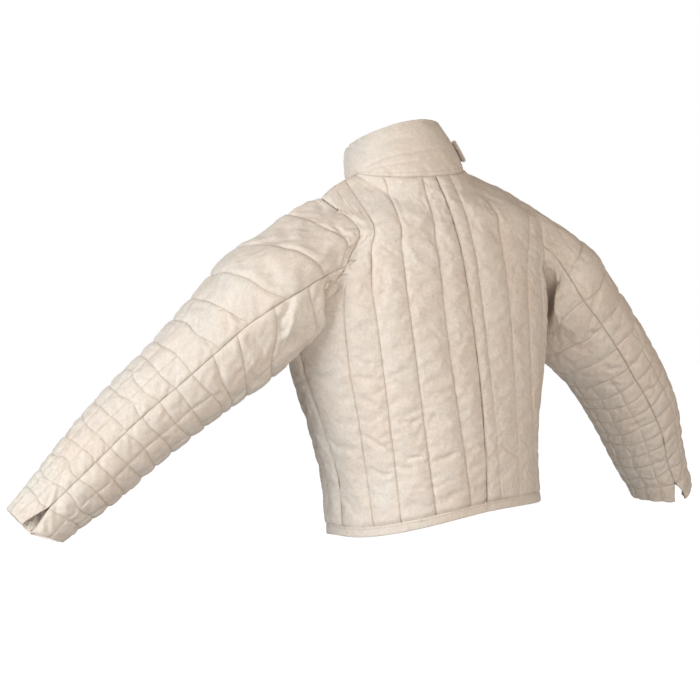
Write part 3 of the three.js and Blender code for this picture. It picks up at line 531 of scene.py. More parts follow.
class Cloth:
    """A piece of cloth as a grid of points, with the relief that its quilting gives it."""

    def __init__(self, name, at, outside):
        self.name = name
        self.at = at
        out = unit(np.cross(np.gradient(at, axis=1), np.gradient(at, axis=0)))
        self.out = out if (out * (at - outside)).sum() > 0 else -out
        self.across = arc_lengths(at, 1)
        self.up = arc_lengths(at, 0)
        self.held = []  # how near each point is to each row of stitches, 1 to 0
        self.groove = np.zeros(at.shape[:2])
        self.relief = np.zeros(at.shape[:2])
        self.stitched = []  # (rows, columns) of each row of stitches
        self.pinned = np.zeros(at.shape[:2])
        self.puff = PUFF
        self.lift = -STITCH_DROP

    def hold(self, distance, firm=1.0, width=LINE_WIDTH, painted_shade=PAINTED_LINE_SHADE["line"]):
        """Pulls the cloth in beside a row of stitches or a seam, and paints shade into the groove
        there.
        """
        self.held.append(1 - firm * np.exp(-distance / width))
        # painted shade: how strongly the groove colour darkens the cloth beside the line
        self.groove = np.maximum(self.groove, painted_shade * firm * np.exp(-distance / GROOVE_WIDTH))

    def line_down(self, column, rows, firm=1.0, depth=1.0, seed=0, painted_shade=PAINTED_LINE_SHADE["line"]):
        """A row of stitches along a column of the grid, over a span of rows."""
        span = np.zeros(self.at.shape[0])
        span[rows[0]:rows[1] + 1] = 1
        firm = np.broadcast_to(firm, span.shape)[:, None] * span[:, None]
        beside = self.across - self.across[:, column:column + 1]
        distance = np.abs(beside)
        self.hold(distance, firm * depth, painted_shade=painted_shade)
        welt = np.exp(-(((beside - WELT["from"]) / WELT["width"]) ** 2))
        self.relief += WELT["height"] * firm * welt
        self.pucker(distance, self.up, firm, seed)
        kept = np.flatnonzero(firm[:, 0] > 0.25)
        self.stitched.append((kept, np.full_like(kept, column)))
        self.pinned[kept, column] = 1

    def line_across(self, row, columns, firm=1.0, depth=1.0, seed=0, painted_shade=PAINTED_LINE_SHADE["across"]):
        """A row of stitches along a row of the grid, over a span of columns."""
        count = self.at.shape[1]
        span = np.zeros(count)
        span[columns[0]:columns[1] + 1] = firm
        distance = np.abs(self.up - self.up[row:row + 1])
        self.hold(distance, span[None] * depth, painted_shade=painted_shade)
        self.pucker(distance, self.across, span[None], seed)
        kept = np.flatnonzero(span > 0.5)
        self.stitched.append((np.full_like(kept, row), kept))
        self.pinned[row, kept] = 1

    def pucker(self, distance, along, firm, seed, height=0.75):
        """Small creases that run away from a row of stitches."""
        short = waves(along, distance, 14, seed, stretch=2.5)
        long = waves(along, distance, 43, seed + 1, stretch=2.0)
        reach = np.exp(-distance / 13) * (1 - np.exp(-distance / 2.5))
        self.relief += height * firm * reach * short * (0.6 + 0.5 * long)

    def from_edge(self, edge):
        """How far each point lies from an edge."""
        return {
            "start": self.across,
            "end": self.across[:, -1:] - self.across,
            "low": self.up,
            "high": self.up[-1:] - self.up,
        }[edge]

    def sew(self, edge, painted_shade=PAINTED_LINE_SHADE["seam"]):
        """An edge that is sewn to another piece."""
        distance = self.from_edge(edge)
        self.hold(distance, 1.0, SEAM_WIDTH, painted_shade)
        along = self.up if edge in ("start", "end") else self.across
        self.pucker(distance, along, 1.0, sum(map(ord, self.name + edge)))

    def hem(self, edge, radius=3.0):
        """A free edge, rounded over."""
        inward = 1 - np.clip(self.from_edge(edge) / radius, 0, 1)
        self.relief -= radius * 0.8 * (1 - np.sqrt(np.clip(1 - inward**2, 0, 1)))

    def slacken(self, amount):
        """Soft unevenness of the padding, and the small bumps of its cover."""
        seed = sum(map(ord, self.name)) * 3
        self.relief += amount * 0.55 * waves(self.across, self.up, 75, seed, stretch=1.8)
        small = waves(self.up, self.across, 26, seed + 1, stretch=1.6, count=24)
        self.relief += amount * 0.3 * small
        self.relief += amount * 0.09 * waves(self.across, self.up, 10, seed + 2, count=40)

    def fold(self, path, width, height, fade):
        """A crease along points given as shares of the cloth (across, up): a trough where the
        height is below 0. It fades over a share of its length at each end."""
        rows, columns = self.at.shape[:2]
        knots = np.linspace(0, 1, len(path))
        fine = np.linspace(0, 1, 6 * len(path))
        across, up = (np.interp(fine, knots, stops) for stops in zip(*path))
        row = np.rint(np.interp(up, self.v, np.arange(rows))).astype(int)
        column = [np.interp(share, self.u[i], np.arange(columns)) for share, i in zip(across, row)]
        line = self.at[row, np.rint(column).astype(int)]
        nearest = np.full((rows, columns), 1e9)
        place = np.zeros((rows, columns))
        for k in range(len(line) - 1):
            step = line[k + 1] - line[k]
            length = max(float(step @ step), 1e-9)
            share = np.clip(((self.at - line[k]) @ step) / length, 0, 1)
            away = np.linalg.norm(self.at - line[k] - share[..., None] * step, axis=-1)
            closer = away < nearest
            nearest = np.where(closer, away, nearest)
            place = np.where(closer, (k + share) / (len(line) - 1), place)
        ends = smooth(place, 0, fade) * (1 - smooth(place, 1 - fade, 1))
        self.relief += height * ends * np.exp(-(nearest / width) ** 2)

    def crease(self):
        """Lays the creases of this piece, some with longer soft ends than others."""
        least, step, steps = CREASE_FADE
        for number, (path, width, height) in enumerate(CREASES.get(self.name, [])):
            self.fold(path, width * CREASED["width"], height * CREASED["height"],
                      fade=least + step * (number % steps))

    def quilted(self):
        """The relief with the padding's rise between the rows of stitches."""
        rise = np.prod(self.held, axis=0) if self.held else 1.0
        return self.relief + self.puff * rise + self.lift

    def surface(self):
        return self.at + self.out * self.quilted()[..., None]


def share_seams(cloths, reach=4.0, blend=10.0):
    """Pieces that are sewn together share one direction along their seam."""
    marks = []
    for number, cloth in enumerate(cloths):
        rows, columns = cloth.at.shape[:2]
        for r in range(rows):
            for c in (range(columns) if r in (0, rows - 1) else (0, columns - 1)):
                marks.append((number, r, c))
    tree = KDTree(len(marks))
    for k, (number, r, c) in enumerate(marks):
        tree.insert(cloths[number].at[r, c], k)
    tree.balance()
    shared = [np.zeros_like(cloth.out) for cloth in cloths]
    for number, r, c in marks:
        outs = {}
        for _, k, away in tree.find_range(cloths[number].at[r, c], reach):
            other = marks[k][0]
            if other not in outs or away < outs[other][0]:
                outs[other] = (away, cloths[other].out[marks[k][1], marks[k][2]])
        outs[number] = (0, cloths[number].out[r, c])
        total = sum(out for _, out in outs.values())
        shared[number][r, c] = unit(total) - cloths[number].out[r, c]
    for cloth, change in zip(cloths, shared):
        spread = np.zeros_like(cloth.out)
        weight = np.full(cloth.out.shape[:2], 1e-9)
        edges = {"start": change[:, :1], "end": change[:, -1:],
                 "low": change[:1], "high": change[-1:]}
        for edge, turned in edges.items():
            distance = cloth.from_edge(edge)
            near = np.exp(-((distance / blend) ** 2))
            sharp = near / (distance + 0.05)
            spread += turned * (near * sharp)[..., None]
            weight += sharp
        cloth.out = unit(cloth.out + spread / weight[..., None])


# ---- The body's pieces ----
def even(count):
    return max(2, 2 * int(round(count / 2)))


def stitch_shares(face, side, v):
    """The shares of the way round to the side edge at which the rows of stitches lie."""
    table = FRONT_LINES if face == "front" else BACK_LINES[side]
    knots = [level for level, _ in table]
    away = np.array([distances for _, distances in table], float)
    u = np.linspace(0, 1, LEVEL_SAMPLES + 1)
    reached = np.abs(body_surface(face, side, u[None], v[:, None])[..., 0])
    shares = [np.interp(through(knots, away, level), x, u) for level, x in zip(v, reached)]
    inner = np.stack(shares, -1)
    return np.stack([np.zeros_like(v), *inner, (1 + inner[-1]) / 2, np.ones_like(v)])


def mesh_lines(stops, spacing):
    """Where a mesh's lines lie between and on some stops, with one close beside each stop.
    It gives the places, the numbers of those on the stops, and those of the coarse net."""
    places, on_stops, coarse = [stops[0]], [], [0]
    for low, high in zip(stops, stops[1:]):
        count = even((high - low) / spacing)
        inner = [mix(low, high, k / count) for k in range(1, count)]
        close = min(BESIDE, (high - low) / count / 2)
        first = len(places) + 1
        places += [low + close, *inner, high - close, high]
        coarse += [first + k - 1 for k in range(2, count, 2)] + [len(places) - 1]
        on_stops.append(len(places) - 1)
    return np.array(places), on_stops[:-1], coarse


def body_piece(face, side):
    spacing = FRONT_SPACING if face == "front" else BODY_SPACING
    stops = stitch_shares(face, side, np.array([WIDEST]))[:, 0] * BODY_WIDTH
    places, lines, net_columns = mesh_lines(stops, spacing)
    levels = [0, HEM_BAND["share"] * BODY_HEIGHT, BODY_HEIGHT]
    heights, (band,), net_rows = mesh_lines(levels, spacing)
    v = heights / BODY_HEIGHT
    u = np.stack([np.interp(places, stops, shares) for shares in stitch_shares(face, side, v).T])
    cloth = Cloth(f"{face}_{side}", body_surface(face, side, u, v[:, None]), np.array([0, 0, -250]))
    cloth.u, cloth.v, cloth.net = u, v, (net_rows, net_columns)
    fading = FADING.get(cloth.name)
    for number, column in enumerate(lines[:BACK_ROWS] if face == "back" else lines, start=1):
        is_short = number > SHORT_LINES
        firm = 1 - smooth(v, *SHORT_LINES_END) if is_short else np.ones_like(v)
        if fading:
            firm = firm * mix(fading["left"], 1, smooth(v, *fading["over"]))
        seed = 100 * number + 7 * len(cloth.name) + (3 if side == "left" else 0)
        cloth.line_down(column, (band, len(v) - 1), firm, DRAWN["body"], seed)
    cloth.sew("start", painted_shade=PAINTED_LINE_SHADE["centre"])
    cloth.sew("end", painted_shade=PAINTED_LINE_SHADE["side"])
    cloth.sew("high", painted_shade=PAINTED_LINE_SHADE["side"])
    cloth.slacken(1.0)
    cloth.crease()
    cloth.band = band
    cloth.relief -= HEM_BAND["sink"] * (1 - smooth(cloth.up, *HEM_BAND["reach"]))
    if face == "front":
        cloth.relief -= FLY["sink"] * (1 - smooth(cloth.across, *FLY["reach"]))
    return cloth


def hem_piece(bodies):
    """The tape round the hem, all in one from the front opening round to the front opening."""
    order = (("front_left", False), ("back_left", True),
             ("back_right", False), ("front_right", True))
    at, out = [], []
    for name, turned in order:
        cloth = bodies[name]
        rows = slice(0, cloth.band + 1)
        for source, target in ((cloth.at, at), (cloth.out, out)):
            strip = resampled(source[rows], HEM_ROWS)
            strip = strip[:, ::-1] if turned else strip
            target.append(strip[:, 1:] if target else strip)
    at, out = np.concatenate(at, 1), np.concatenate(out, 1)
    cloth = Cloth("hem_binding", at, np.array([0, 0, -520]))
    cloth.out = unit(out)
    cloth.lift = HEM_BAND["over"] + HEM_BAND["thick"] - STITCH_DROP
    cloth.puff = HEM_BAND["puff"]
    last = at.shape[1] - 1
    cloth.line_across(HEM_ROWS - 3, (0, last), 1.0, DRAWN["trim"], 21, PAINTED_LINE_SHADE["hem"])
    cloth.hem("low", 2.0)
    cloth.hem("high", 1.0)
    return cloth


def fly_piece():
    """The strip over the front opening, from the right side over to the left one."""
    rows = even(FLY["length"] / FRONT_SPACING)
    half = even(FLY["half"] / TRIM_SPACING["across"])
    share = np.linspace(-1, 1, 2 * half + 1)[None]
    v = np.linspace(FLY["from"], FLY["to"], rows + 1)[:, None]
    line = stitch_shares("front", "left", v[:, 0])[1][:, None]
    u = np.abs(share) * line / 2
    at = np.where(share[..., None] < 0, body_surface("front", "right", u, v),
                  body_surface("front", "left", u, v))
    cloth = Cloth("front_fly", at, np.array([0, 0, -250]))
    cloth.lift = FLY["over"] + FLY["thick"] - STITCH_DROP
    cloth.puff = FLY["puff"]
    first, last, high = FLY["edge"], 2 * half - FLY["edge"], rows - FLY["edge"]
    for column in (first, last):
        cloth.line_down(column, (first, high), 1.0, DRAWN["trim"], 31 + column)
    cloth.line_across(first, (first, last), 1.0, DRAWN["trim"], 33)
    cloth.line_across(high, (first, last), 1.0, DRAWN["trim"], 34)
    for edge in ("start", "end", "low", "high"):
        cloth.hem(edge, 1.5)
    return cloth


# ---- The sleeves' pieces ----
def sleeve_piece(side, half):
    spec = SLEEVES[side]
    is_outer = half == "outer"
    cells, width = CELLS[half]
    upper = spec["rows"][half]
    lines = [0.0, *upper, *(ELBOW + k * FOREARM["pitch"] for k in range(FOREARM["rows"])), 1.0]
    levels = [line * SLEEVE_LENGTH for line in lines]
    lengths, line_rows, net_rows = mesh_lines(levels, SLEEVE_SPACING)
    stops = [cell * width for cell in range(cells + 1)]
    widths, long_lines, net_columns = mesh_lines(stops, SLEEVE_SPACING)
    s = lengths[:, None] / SLEEVE_LENGTH
    share = widths[None] / widths[-1]
    opened = smooth(s, SLIT["from"], 1)
    seed = 11 if is_outer else 12
    long_way, short_way = s * SLEEVE_LENGTH, share * widths[-1]
    free = smooth(s, *UNEVEN["begins"]) * (1 - smooth(s, *UNEVEN["ends"]))
    stray = free * waves(short_way, long_way, UNEVEN["length"], seed) * UNEVEN["along"]
    aside = free * waves(short_way, long_way, UNEVEN["length"], seed + 2) * UNEVEN["across"]
    across = np.sin(math.pi * share)
    arched = np.where(s < ELBOW, spec["slope"][half] * np.sin(math.pi * s / ELBOW), 0)
    trimmed = 0 if is_outer else CUFF_RISE["share"] * smooth(s, CUFF_RISE["from"], 1)
    along = s + across * (arched - trimmed) + stray / SLEEVE_LENGTH
    if is_outer:
        along = along - np.interp(s, *spec["slant"]) * smooth(share, *SLANTED)
    share = share + across * aside / widths[-1]
    back_seam = np.interp(along, *spec["seam"])
    start = FRONT_SEAM if is_outer else back_seam + SLIT["under"] * opened
    end = back_seam - SLIT["outer"] * opened if is_outer else FRONT_SEAM + 360
    angle = mix(start, end, share)
    at = sleeve_surface(side, angle, along)
    middles = sleeve_surface(side, np.linspace(0, 315, 8)[None], s).mean(axis=1, keepdims=True)
    cloth = Cloth(f"sleeve_{side}_{half}", at, middles)
    from_slit = np.abs(share - (1 if is_outer else 0)) * widths[-1]
    cloth.relief += SLIT["curl"][half] * opened * np.exp(-from_slit / SLIT["width"])
    cloth.u, cloth.v, cloth.net = share, s[:, 0], (net_rows, net_columns)
    cloth.puff = SLEEVE_PUFF
    last = at.shape[1] - 1
    for number, row in enumerate(line_rows):
        seed = 300 + 31 * number + len(cloth.name) * 5
        cloth.line_across(row, (0, last), 1.0, DRAWN["sleeve"], seed)
    elbow_row = line_rows[len(upper)]
    for number, column in enumerate(long_lines):
        rows = (elbow_row, at.shape[0] - 1)
        cloth.line_down(column, rows, 1.0, DRAWN["long"], 500 + number * 13, PAINTED_LINE_SHADE["long"])
    for edge in ("start", "end", "low"):
        cloth.sew(edge)
    cloth.slacken(0.8)
    cloth.crease()
    cloth.hem("high")
    return cloth


# ---- The collar's pieces ----
def collar_piece():
    count = even(2 * math.pi * COLLAR_MESH["radius"] / TRIM_SPACING["across"])
    rows = even(COLLAR_MESH["height"] / TRIM_SPACING["up"])
    angle = np.linspace(-180, 180, count + 1)[None]
    k = np.linspace(0, 1, rows + 1)[:, None]
    at = collar_surface(angle, k)
    cloth = Cloth("collar", at, np.array([0, 0, 40]))
    cloth.u, cloth.v = np.broadcast_to((angle + 180) / 360, at.shape[:2]), k[:, 0]
    for share in COLLAR_LINES:
        row = int(round(share * rows))
        cloth.line_across(row, (0, count), 1.0, DRAWN["collar"], 700 + row)
    cloth.sew("low", painted_shade=PAINTED_LINE_SHADE["side"])
    cloth.sew("start")
    cloth.sew("end")
    cloth.slacken(0.7)
    cloth.crease()
    cloth.hem("high", 3.5)
    return cloth


def flap_piece():
    spacing = TRIM_SPACING["up"]
    length = math.radians(FLAP["to"] - FLAP["from"]) * FLAP["radius"]
    angle = np.linspace(FLAP["from"], FLAP["to"], even(length / spacing) + 1)[None]
    k = np.linspace(FLAP["low"], FLAP["high"], even(FLAP["height"] / spacing) + 1)[:, None]
    at = collar_surface(angle, k)
    cloth = Cloth("collar_flap", at, np.array([0, 0, 40]))
    share = (angle - FLAP["from"]) / (FLAP["to"] - FLAP["from"])
    stand = FLAP["wall"] + FLAP["clear"] + FLAP["stand"] * share**3
    cloth.at = at + cloth.out * stand[..., None]
    last = angle.shape[1] - 1
    inset = even(FLAP["inset"] / spacing)
    high = k.shape[0] - 1 - inset
    cloth.line_across(inset, (inset, last - inset), 1.0, DRAWN["flap"], 801)
    cloth.line_across(high, (inset, last - inset), 1.0, DRAWN["flap"], 802)
    cloth.line_down(last - inset, (inset, high), 1.0, DRAWN["flap"], 803)
    for edge in ("start", "end", "low", "high"):
        cloth.hem(edge)
    cloth.relief += STITCH_DROP - 1.5
    return cloth


# ---- Making the pieces ----
SHARP = 62  # degrees between faces from which an edge is sharp


def close_wall(piece, thick):
    """Gives an open sheet its thickness, inwards, and keeps the result."""
    wall = piece.modifiers.new("wall", "SOLIDIFY")
    wall.thickness = thick * MM
    wall.offset = -1
    depsgraph = bpy.context.evaluated_depsgraph_get()
    solid = bpy.data.meshes.new_from_object(piece.evaluated_get(depsgraph))
    piece.modifiers.clear()
    piece.data = solid
    solid.name = piece.name


def add_object(name, data):
    added = bpy.data.objects.new(name, data)
    bpy.context.scene.collection.objects.link(added)
    return added


def grid_mesh(name, points, out):
    """A mesh through a grid of points, whose faces look the way that `out` points."""
    rows, columns = points.shape[:2]
    bm = bmesh.new()
    bmesh.ops.create_grid(bm, x_segments=columns - 1, y_segments=rows - 1, size=1.0)
    bm.verts.ensure_lookup_table()
    for vert, place in zip(bm.verts, points.reshape(-1, 3) * MM):
        vert.co = place
    bm.normal_update()
    middle = (rows // 2) * columns + columns // 2
    if bm.verts[middle].normal.dot(Vector(out[rows // 2, columns // 2])) < 0:
        bmesh.ops.reverse_faces(bm, faces=bm.faces)
    mesh = bpy.data.meshes.new(name)
    bm.to_mesh(mesh)
    bm.free()
    return mesh


def make_piece(cloth, points, material, thick=WALL):
    """A wall of cloth whose outside goes through the points (rows, columns, xyz)."""
    mesh = grid_mesh(cloth.name + "_cloth", points, cloth.out)
    corner = np.zeros(len(mesh.loops), int)
    mesh.loops.foreach_get("vertex_index", corner)
    cut = np.stack([cloth.across, cloth.up], -1).reshape(-1, 2) * MM
    layer = mesh.uv_layers.new(name="cut")
    layer.data.foreach_set("uv", cut[corner].astype(np.float32).ravel())
    groove = mesh.attributes.new("groove", "FLOAT", "POINT")
    groove.data.foreach_set("value", cloth.groove.astype(np.float32).ravel())
    piece = add_object(cloth.name + "_cloth", mesh)
    close_wall(piece, thick)
    piece.data.materials.append(material)
    piece.data.shade_smooth()
    piece.data.set_sharp_from_angle(angle=math.radians(SHARP))
    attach(piece, "root")
    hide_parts(cloth.name)
    return piece


# ---- Cloth simulation: the cover is a little larger than the space between its stitches ----
SETTLE = {"frames": 14, "pressure": 0.8, "cap": 2.0, "quality": 4, "mass": 0.15,
          "stretch": 12, "shear": 5, "bending": 0.15, "damping": 6}
EXCESS = {"body": 0.012, "sleeve": 0.022}  # of the cover's size, as a share


def settle(cloth, excess):
    """Lets the cover puff out between its pinned rows of stitches, and adds what it does."""
    net = np.ix_(*cloth.net)
    start = cloth.surface()[net]
    rows, columns = start.shape[:2]
    mesh = grid_mesh("settling", start, cloth.out[net])
    cover = add_object("settling", mesh)
    pinned = cloth.pinned[net].copy()
    pinned[0] = pinned[-1] = 1
    pinned[:, 0] = pinned[:, -1] = 1
    group = cover.vertex_groups.new(name="stitched")
    group.add(np.flatnonzero(pinned.ravel() > 0.5).tolist(), 1.0, "REPLACE")
    cloth_modifier = cover.modifiers.new("cover", "CLOTH")
    settings = cloth_modifier.settings
    settings.vertex_group_mass = "stitched"
    settings.quality = SETTLE["quality"]
    settings.mass = SETTLE["mass"]
    settings.tension_stiffness = SETTLE["stretch"]
    settings.compression_stiffness = SETTLE["stretch"]
    settings.shear_stiffness = SETTLE["shear"]
    settings.bending_stiffness = SETTLE["bending"]
    settings.air_damping = SETTLE["damping"]
    settings.use_pressure = True
    settings.uniform_pressure_force = SETTLE["pressure"]
    settings.shrink_min = -excess
    settings.effector_weights.gravity = 0
    cloth_modifier.collision_settings.use_collision = False
    cloth_modifier.point_cache.frame_end = SETTLE["frames"] + 1
    scene = bpy.context.scene
    for number in range(1, SETTLE["frames"] + 1):
        scene.frame_set(number)
    depsgraph = bpy.context.evaluated_depsgraph_get()
    moved = np.zeros(rows * columns * 3)
    cover.evaluated_get(depsgraph).data.vertices.foreach_get("co", moved)
    change = moved.reshape(rows, columns, 3) / MM - start
    bpy.data.objects.remove(cover)
    bpy.data.meshes.remove(mesh)
    scene.frame_set(1)
    size = np.linalg.norm(change, axis=-1, keepdims=True)
    change *= np.minimum(1, SETTLE["cap"] / np.maximum(size, 1e-6))
    for chosen, count in zip(cloth.net, cloth.at.shape):
        change = filled(change, chosen, count).swapaxes(0, 1)
    return change


def resampled(strip, count):
    """A grid of points with `count` rows instead of its own."""
    place = np.linspace(0, strip.shape[0] - 1, count)
    low = np.floor(place).astype(int).clip(0, strip.shape[0] - 2)
    share = (place - low)[:, None, None]
    return strip[low] * (1 - share) + strip[low + 1] * share


def filled(values, chosen, count):
    """Values of a few chosen rows, as those of all rows, by a smooth curve."""
    return np.stack([through(chosen, values, row) for row in range(count)])


# ---- The threads ----
STITCH = {"pitch": 4.5, "long": 3.0, "thick": 0.62, "sunk": 0.05}


def make_stitch():
    """One stitch, a short strand along x: its corners, and the faces between them."""
    bm = bmesh.new()
    bmesh.ops.create_uvsphere(bm, u_segments=4, v_segments=3, radius=0.5)
    turn = Matrix.Rotation(math.pi / 2, 3, "Y")
    bmesh.ops.rotate(bm, verts=bm.verts, cent=(0, 0, 0), matrix=turn)
    bmesh.ops.scale(bm, verts=bm.verts, vec=(STITCH["long"], STITCH["thick"], STITCH["thick"]))
    bm.verts.ensure_lookup_table()
    corners = np.array([vert.co for vert in bm.verts])
    faces = [[vert.index for vert in face.verts] for face in bm.faces]
    bm.free()
    return corners, faces


def make_threads(cloth, points, stitch, material):
    """The stitches of all rows on a piece of cloth, as one mesh of small strands."""
    corners, faces = stitch
    outward = unit(np.cross(np.gradient(points, axis=1), np.gradient(points, axis=0)))
    outward *= np.sign((outward * cloth.out).sum(-1, keepdims=True))
    verts, polygons = [], []
    for rows, columns in cloth.stitched:
        line, out = points[rows, columns], outward[rows, columns]
        length = np.concatenate([[0], np.cumsum(np.linalg.norm(np.diff(line, axis=0), axis=1))])
        count = int(length[-1] / STITCH["pitch"])
        middles = (np.arange(count) + 0.5) * STITCH["pitch"]
        reach = STITCH["long"] / 2
        ends = [np.stack([np.interp(middles + step, length, line[:, k]) for k in range(3)], -1)
                for step in (-reach, reach)]
        up = unit(np.stack([np.interp(middles, length, out[:, k]) for k in range(3)], -1))
        along = unit(ends[1] - ends[0])
        side = unit(np.cross(up, along))
        up = np.cross(along, side)
        middle = (ends[0] + ends[1]) / 2 + up * STITCH["sunk"]
        axes = np.stack([along, side, up], 1)
        placed = middle[:, None] + np.einsum("kc,nca->nka", corners, axes)
        for stitch_corners in placed:
            polygons += [[len(verts) + k for k in face] for face in faces]
            verts += list(stitch_corners * MM)
    mesh = bpy.data.meshes.new(cloth.name + "_thread")
    mesh.from_pydata(verts, [], polygons)
    thread = add_object(cloth.name + "_thread", mesh)
    mesh.materials.append(material)
    mesh.shade_smooth()
    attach(thread, "root")


# ---- Materials ----
def node_group(name, inputs, outputs):
    group = bpy.data.node_groups.new(name, "ShaderNodeTree")
    for title, kind, value in inputs:
        socket = group.interface.new_socket(title, in_out="INPUT", socket_type=kind)
        socket.default_value = value
    for title, kind in outputs:
        group.interface.new_socket(title, in_out="OUTPUT", socket_type=kind)
    return group, group.nodes.new("NodeGroupInput"), group.nodes.new("NodeGroupOutput")


class Wiring:
    """Adds nodes to a tree and joins them by name."""

    def __init__(self, tree):
        self.tree = tree

    def add(self, kind, settings=None, **sockets):
        node = self.tree.nodes.new(kind)
        for key, value in (settings or {}).items():
            setattr(node, key, value)
        for key, value in sockets.items():
            self.set(node, key.replace("_", " "), value)
        return node

    def set(self, node, key, value):
        socket = node.inputs[int(key)] if key.isdigit() else node.inputs[key]
        if isinstance(value, bpy.types.NodeSocket):
            self.tree.links.new(value, socket)
        else:
            socket.default_value = value

    def math(self, operation, a, b=0.0):
        node = self.tree.nodes.new("ShaderNodeMath")
        node.operation = operation
        self.set(node, "0", a)
        self.set(node, "1", b)
        return node.outputs[0]

    def noise(self, place, scale, detail=2.0, rough=0.5):
        node = self.add("ShaderNodeTexNoise", Scale=scale, Detail=detail, Roughness=rough)
        self.set(node, "Vector", place)
        return node.outputs["Fac"]

    def between(self, value, low, high, to_low=0.0, to_high=1.0):
        node = self.tree.nodes.new("ShaderNodeMapRange")
        for key, number in zip(("Value", "From Min", "From Max", "To Min", "To Max"),
                               (value, low, high, to_low, to_high)):
            self.set(node, key, number)
        return node.outputs["Result"]

    def blend(self, share, a, b, mode="MIX"):
        node = self.tree.nodes.new("ShaderNodeMix")
        node.data_type = "RGBA"
        node.blend_type = mode
        colour = [socket for socket in node.inputs if socket.type == "RGBA"]
        self.set(node, "Factor", share)
        for socket, value in zip(colour, (a, b)):
            if isinstance(value, bpy.types.NodeSocket):
                self.tree.links.new(value, socket)
            else:
                socket.default_value = value
        return [socket for socket in node.outputs if socket.type == "RGBA"][0]


THREAD = 0.0011  # metres from one thread of the canvas to the next
ECRU = (0.79, 0.72, 0.645, 1)
PAINTED_GROOVE_SHADE = (0.25, 0.175, 0.12, 1)  # painted shade: the dark colour laid into the stitch lines and seams


def canvas_group():
    """Cotton canvas: woven threads, slubs, flecks of seed and a soft nap, with painted shade along
    its rows of stitches.
    """
    group, given, result = node_group(
        "cotton canvas",
        [("Colour", "NodeSocketColor", (0.7, 0.6, 0.5, 1)),
         ("Groove Colour", "NodeSocketColor", (0.3, 0.22, 0.15, 1)),
         ("Flush", "NodeSocketFloat", 0.3)],
        [("Colour", "NodeSocketColor"), ("Height", "NodeSocketFloat"),
         ("Roughness", "NodeSocketFloat")],
    )
    w = Wiring(group)
    cut = w.add("ShaderNodeUVMap", {"uv_map": "cut"}).outputs["UV"]
    place = w.add("ShaderNodeTexCoord").outputs["Object"]
    parts = w.add("ShaderNodeSeparateXYZ", Vector=cut)
    turn = 2 * math.pi / THREAD
    warp = w.math("SINE", w.math("MULTIPLY", parts.outputs["X"], turn))
    weft = w.math("SINE", w.math("MULTIPLY", parts.outputs["Y"], turn))
    weave = w.math("MULTIPLY", warp, weft)
    along = w.add("ShaderNodeMapping", Vector=cut, Scale=(900, 70, 1)).outputs["Vector"]
    over = w.add("ShaderNodeMapping", Vector=cut, Scale=(70, 900, 1)).outputs["Vector"]
    slub = w.math("ADD", w.noise(along, 1.0, 1.0), w.noise(over, 1.0, 1.0))
    nap = w.noise(place, 900, 3.0, 0.7)
    cloudy = w.noise(place, 14, 3.0, 0.55)
    worn = w.noise(place, 75, 2.0, 0.6)
    mottle = w.noise(place, 240, 2.0, 0.65)
    height = w.math("ADD", w.math("MULTIPLY", weave, 0.22), w.math("MULTIPLY", slub, 0.55))
    height = w.math("ADD", height, w.math("MULTIPLY", nap, 0.5))
    height = w.math("ADD", height, w.math("MULTIPLY", mottle, 1.6))
    w.set(result, "Height", height)
    warm = w.blend(w.between(cloudy, 0.4, 0.75, 0.0, 1.0), (1, 1, 1, 1), (1.0, 0.93, 0.89, 1))
    tinted = w.blend(given.outputs["Flush"], given.outputs["Colour"], warm, "MULTIPLY")
    shade = w.between(w.math("ADD", w.math("MULTIPLY", slub, 0.5), nap), 0.75, 1.25, 0.93, 1.05)
    shade = w.math("MULTIPLY", shade, w.between(worn, 0.3, 0.7, 0.96, 1.03))
    shade = w.math("MULTIPLY", shade, w.between(mottle, 0.3, 0.7, 0.93, 1.06))
    grey = w.add("ShaderNodeCombineColor")
    for channel in ("Red", "Green", "Blue"):
        w.set(grey, channel, shade)
    toned = w.blend(1.0, tinted, grey.outputs[0], "MULTIPLY")
    speckle = w.add("ShaderNodeTexVoronoi", {"feature": "F1"}, Scale=150.0)
    w.set(speckle, "Vector", place)
    rare = w.noise(place, 37, 1.0)
    fleck = w.math("MULTIPLY", w.between(speckle.outputs["Distance"], 0.16, 0.08),
                   w.between(rare, 0.66, 0.72))
    flecked = w.blend(w.math("MULTIPLY", fleck, 0.55), toned, (0.16, 0.1, 0.06, 1))
    # Painted shade: the cloth is darkened towards the Groove Colour along the rows of stitches and
    # the seams.
    groove = w.add("ShaderNodeAttribute", {"attribute_name": "groove"}).outputs["Fac"]
    depth = w.math("MULTIPLY", w.math("POWER", groove, 1.6), 0.9)
    w.set(result, "Colour", w.blend(depth, flecked, given.outputs["Groove Colour"]))
    w.set(result, "Roughness", w.between(nap, 0.3, 0.7, 0.86, 0.98))
    return group


def cotton(name, colour, groove, flush, canvas, bump=0.00016):
    material = bpy.data.materials.new(name)
    material.use_nodes = True
    w = Wiring(material.node_tree)
    shader = material.node_tree.nodes["Principled BSDF"]
    weave = w.add("ShaderNodeGroup", {"node_tree": canvas})
    w.set(weave, "Colour", colour)
    w.set(weave, "Groove Colour", groove)
    w.set(weave, "Flush", flush)
    relief = w.add("ShaderNodeBump", Strength=0.7, Distance=bump)
    w.set(relief, "Height", weave.outputs["Height"])
    w.set(shader, "Base Color", weave.outputs["Colour"])
    w.set(shader, "Roughness", weave.outputs["Roughness"])
    w.set(shader, "Normal", relief.outputs["Normal"])
    shader.inputs["Sheen Weight"].default_value = 0.12
    shader.inputs["Sheen Roughness"].default_value = 0.5
    shader.inputs["Specular IOR Level"].default_value = 0.2
    return material


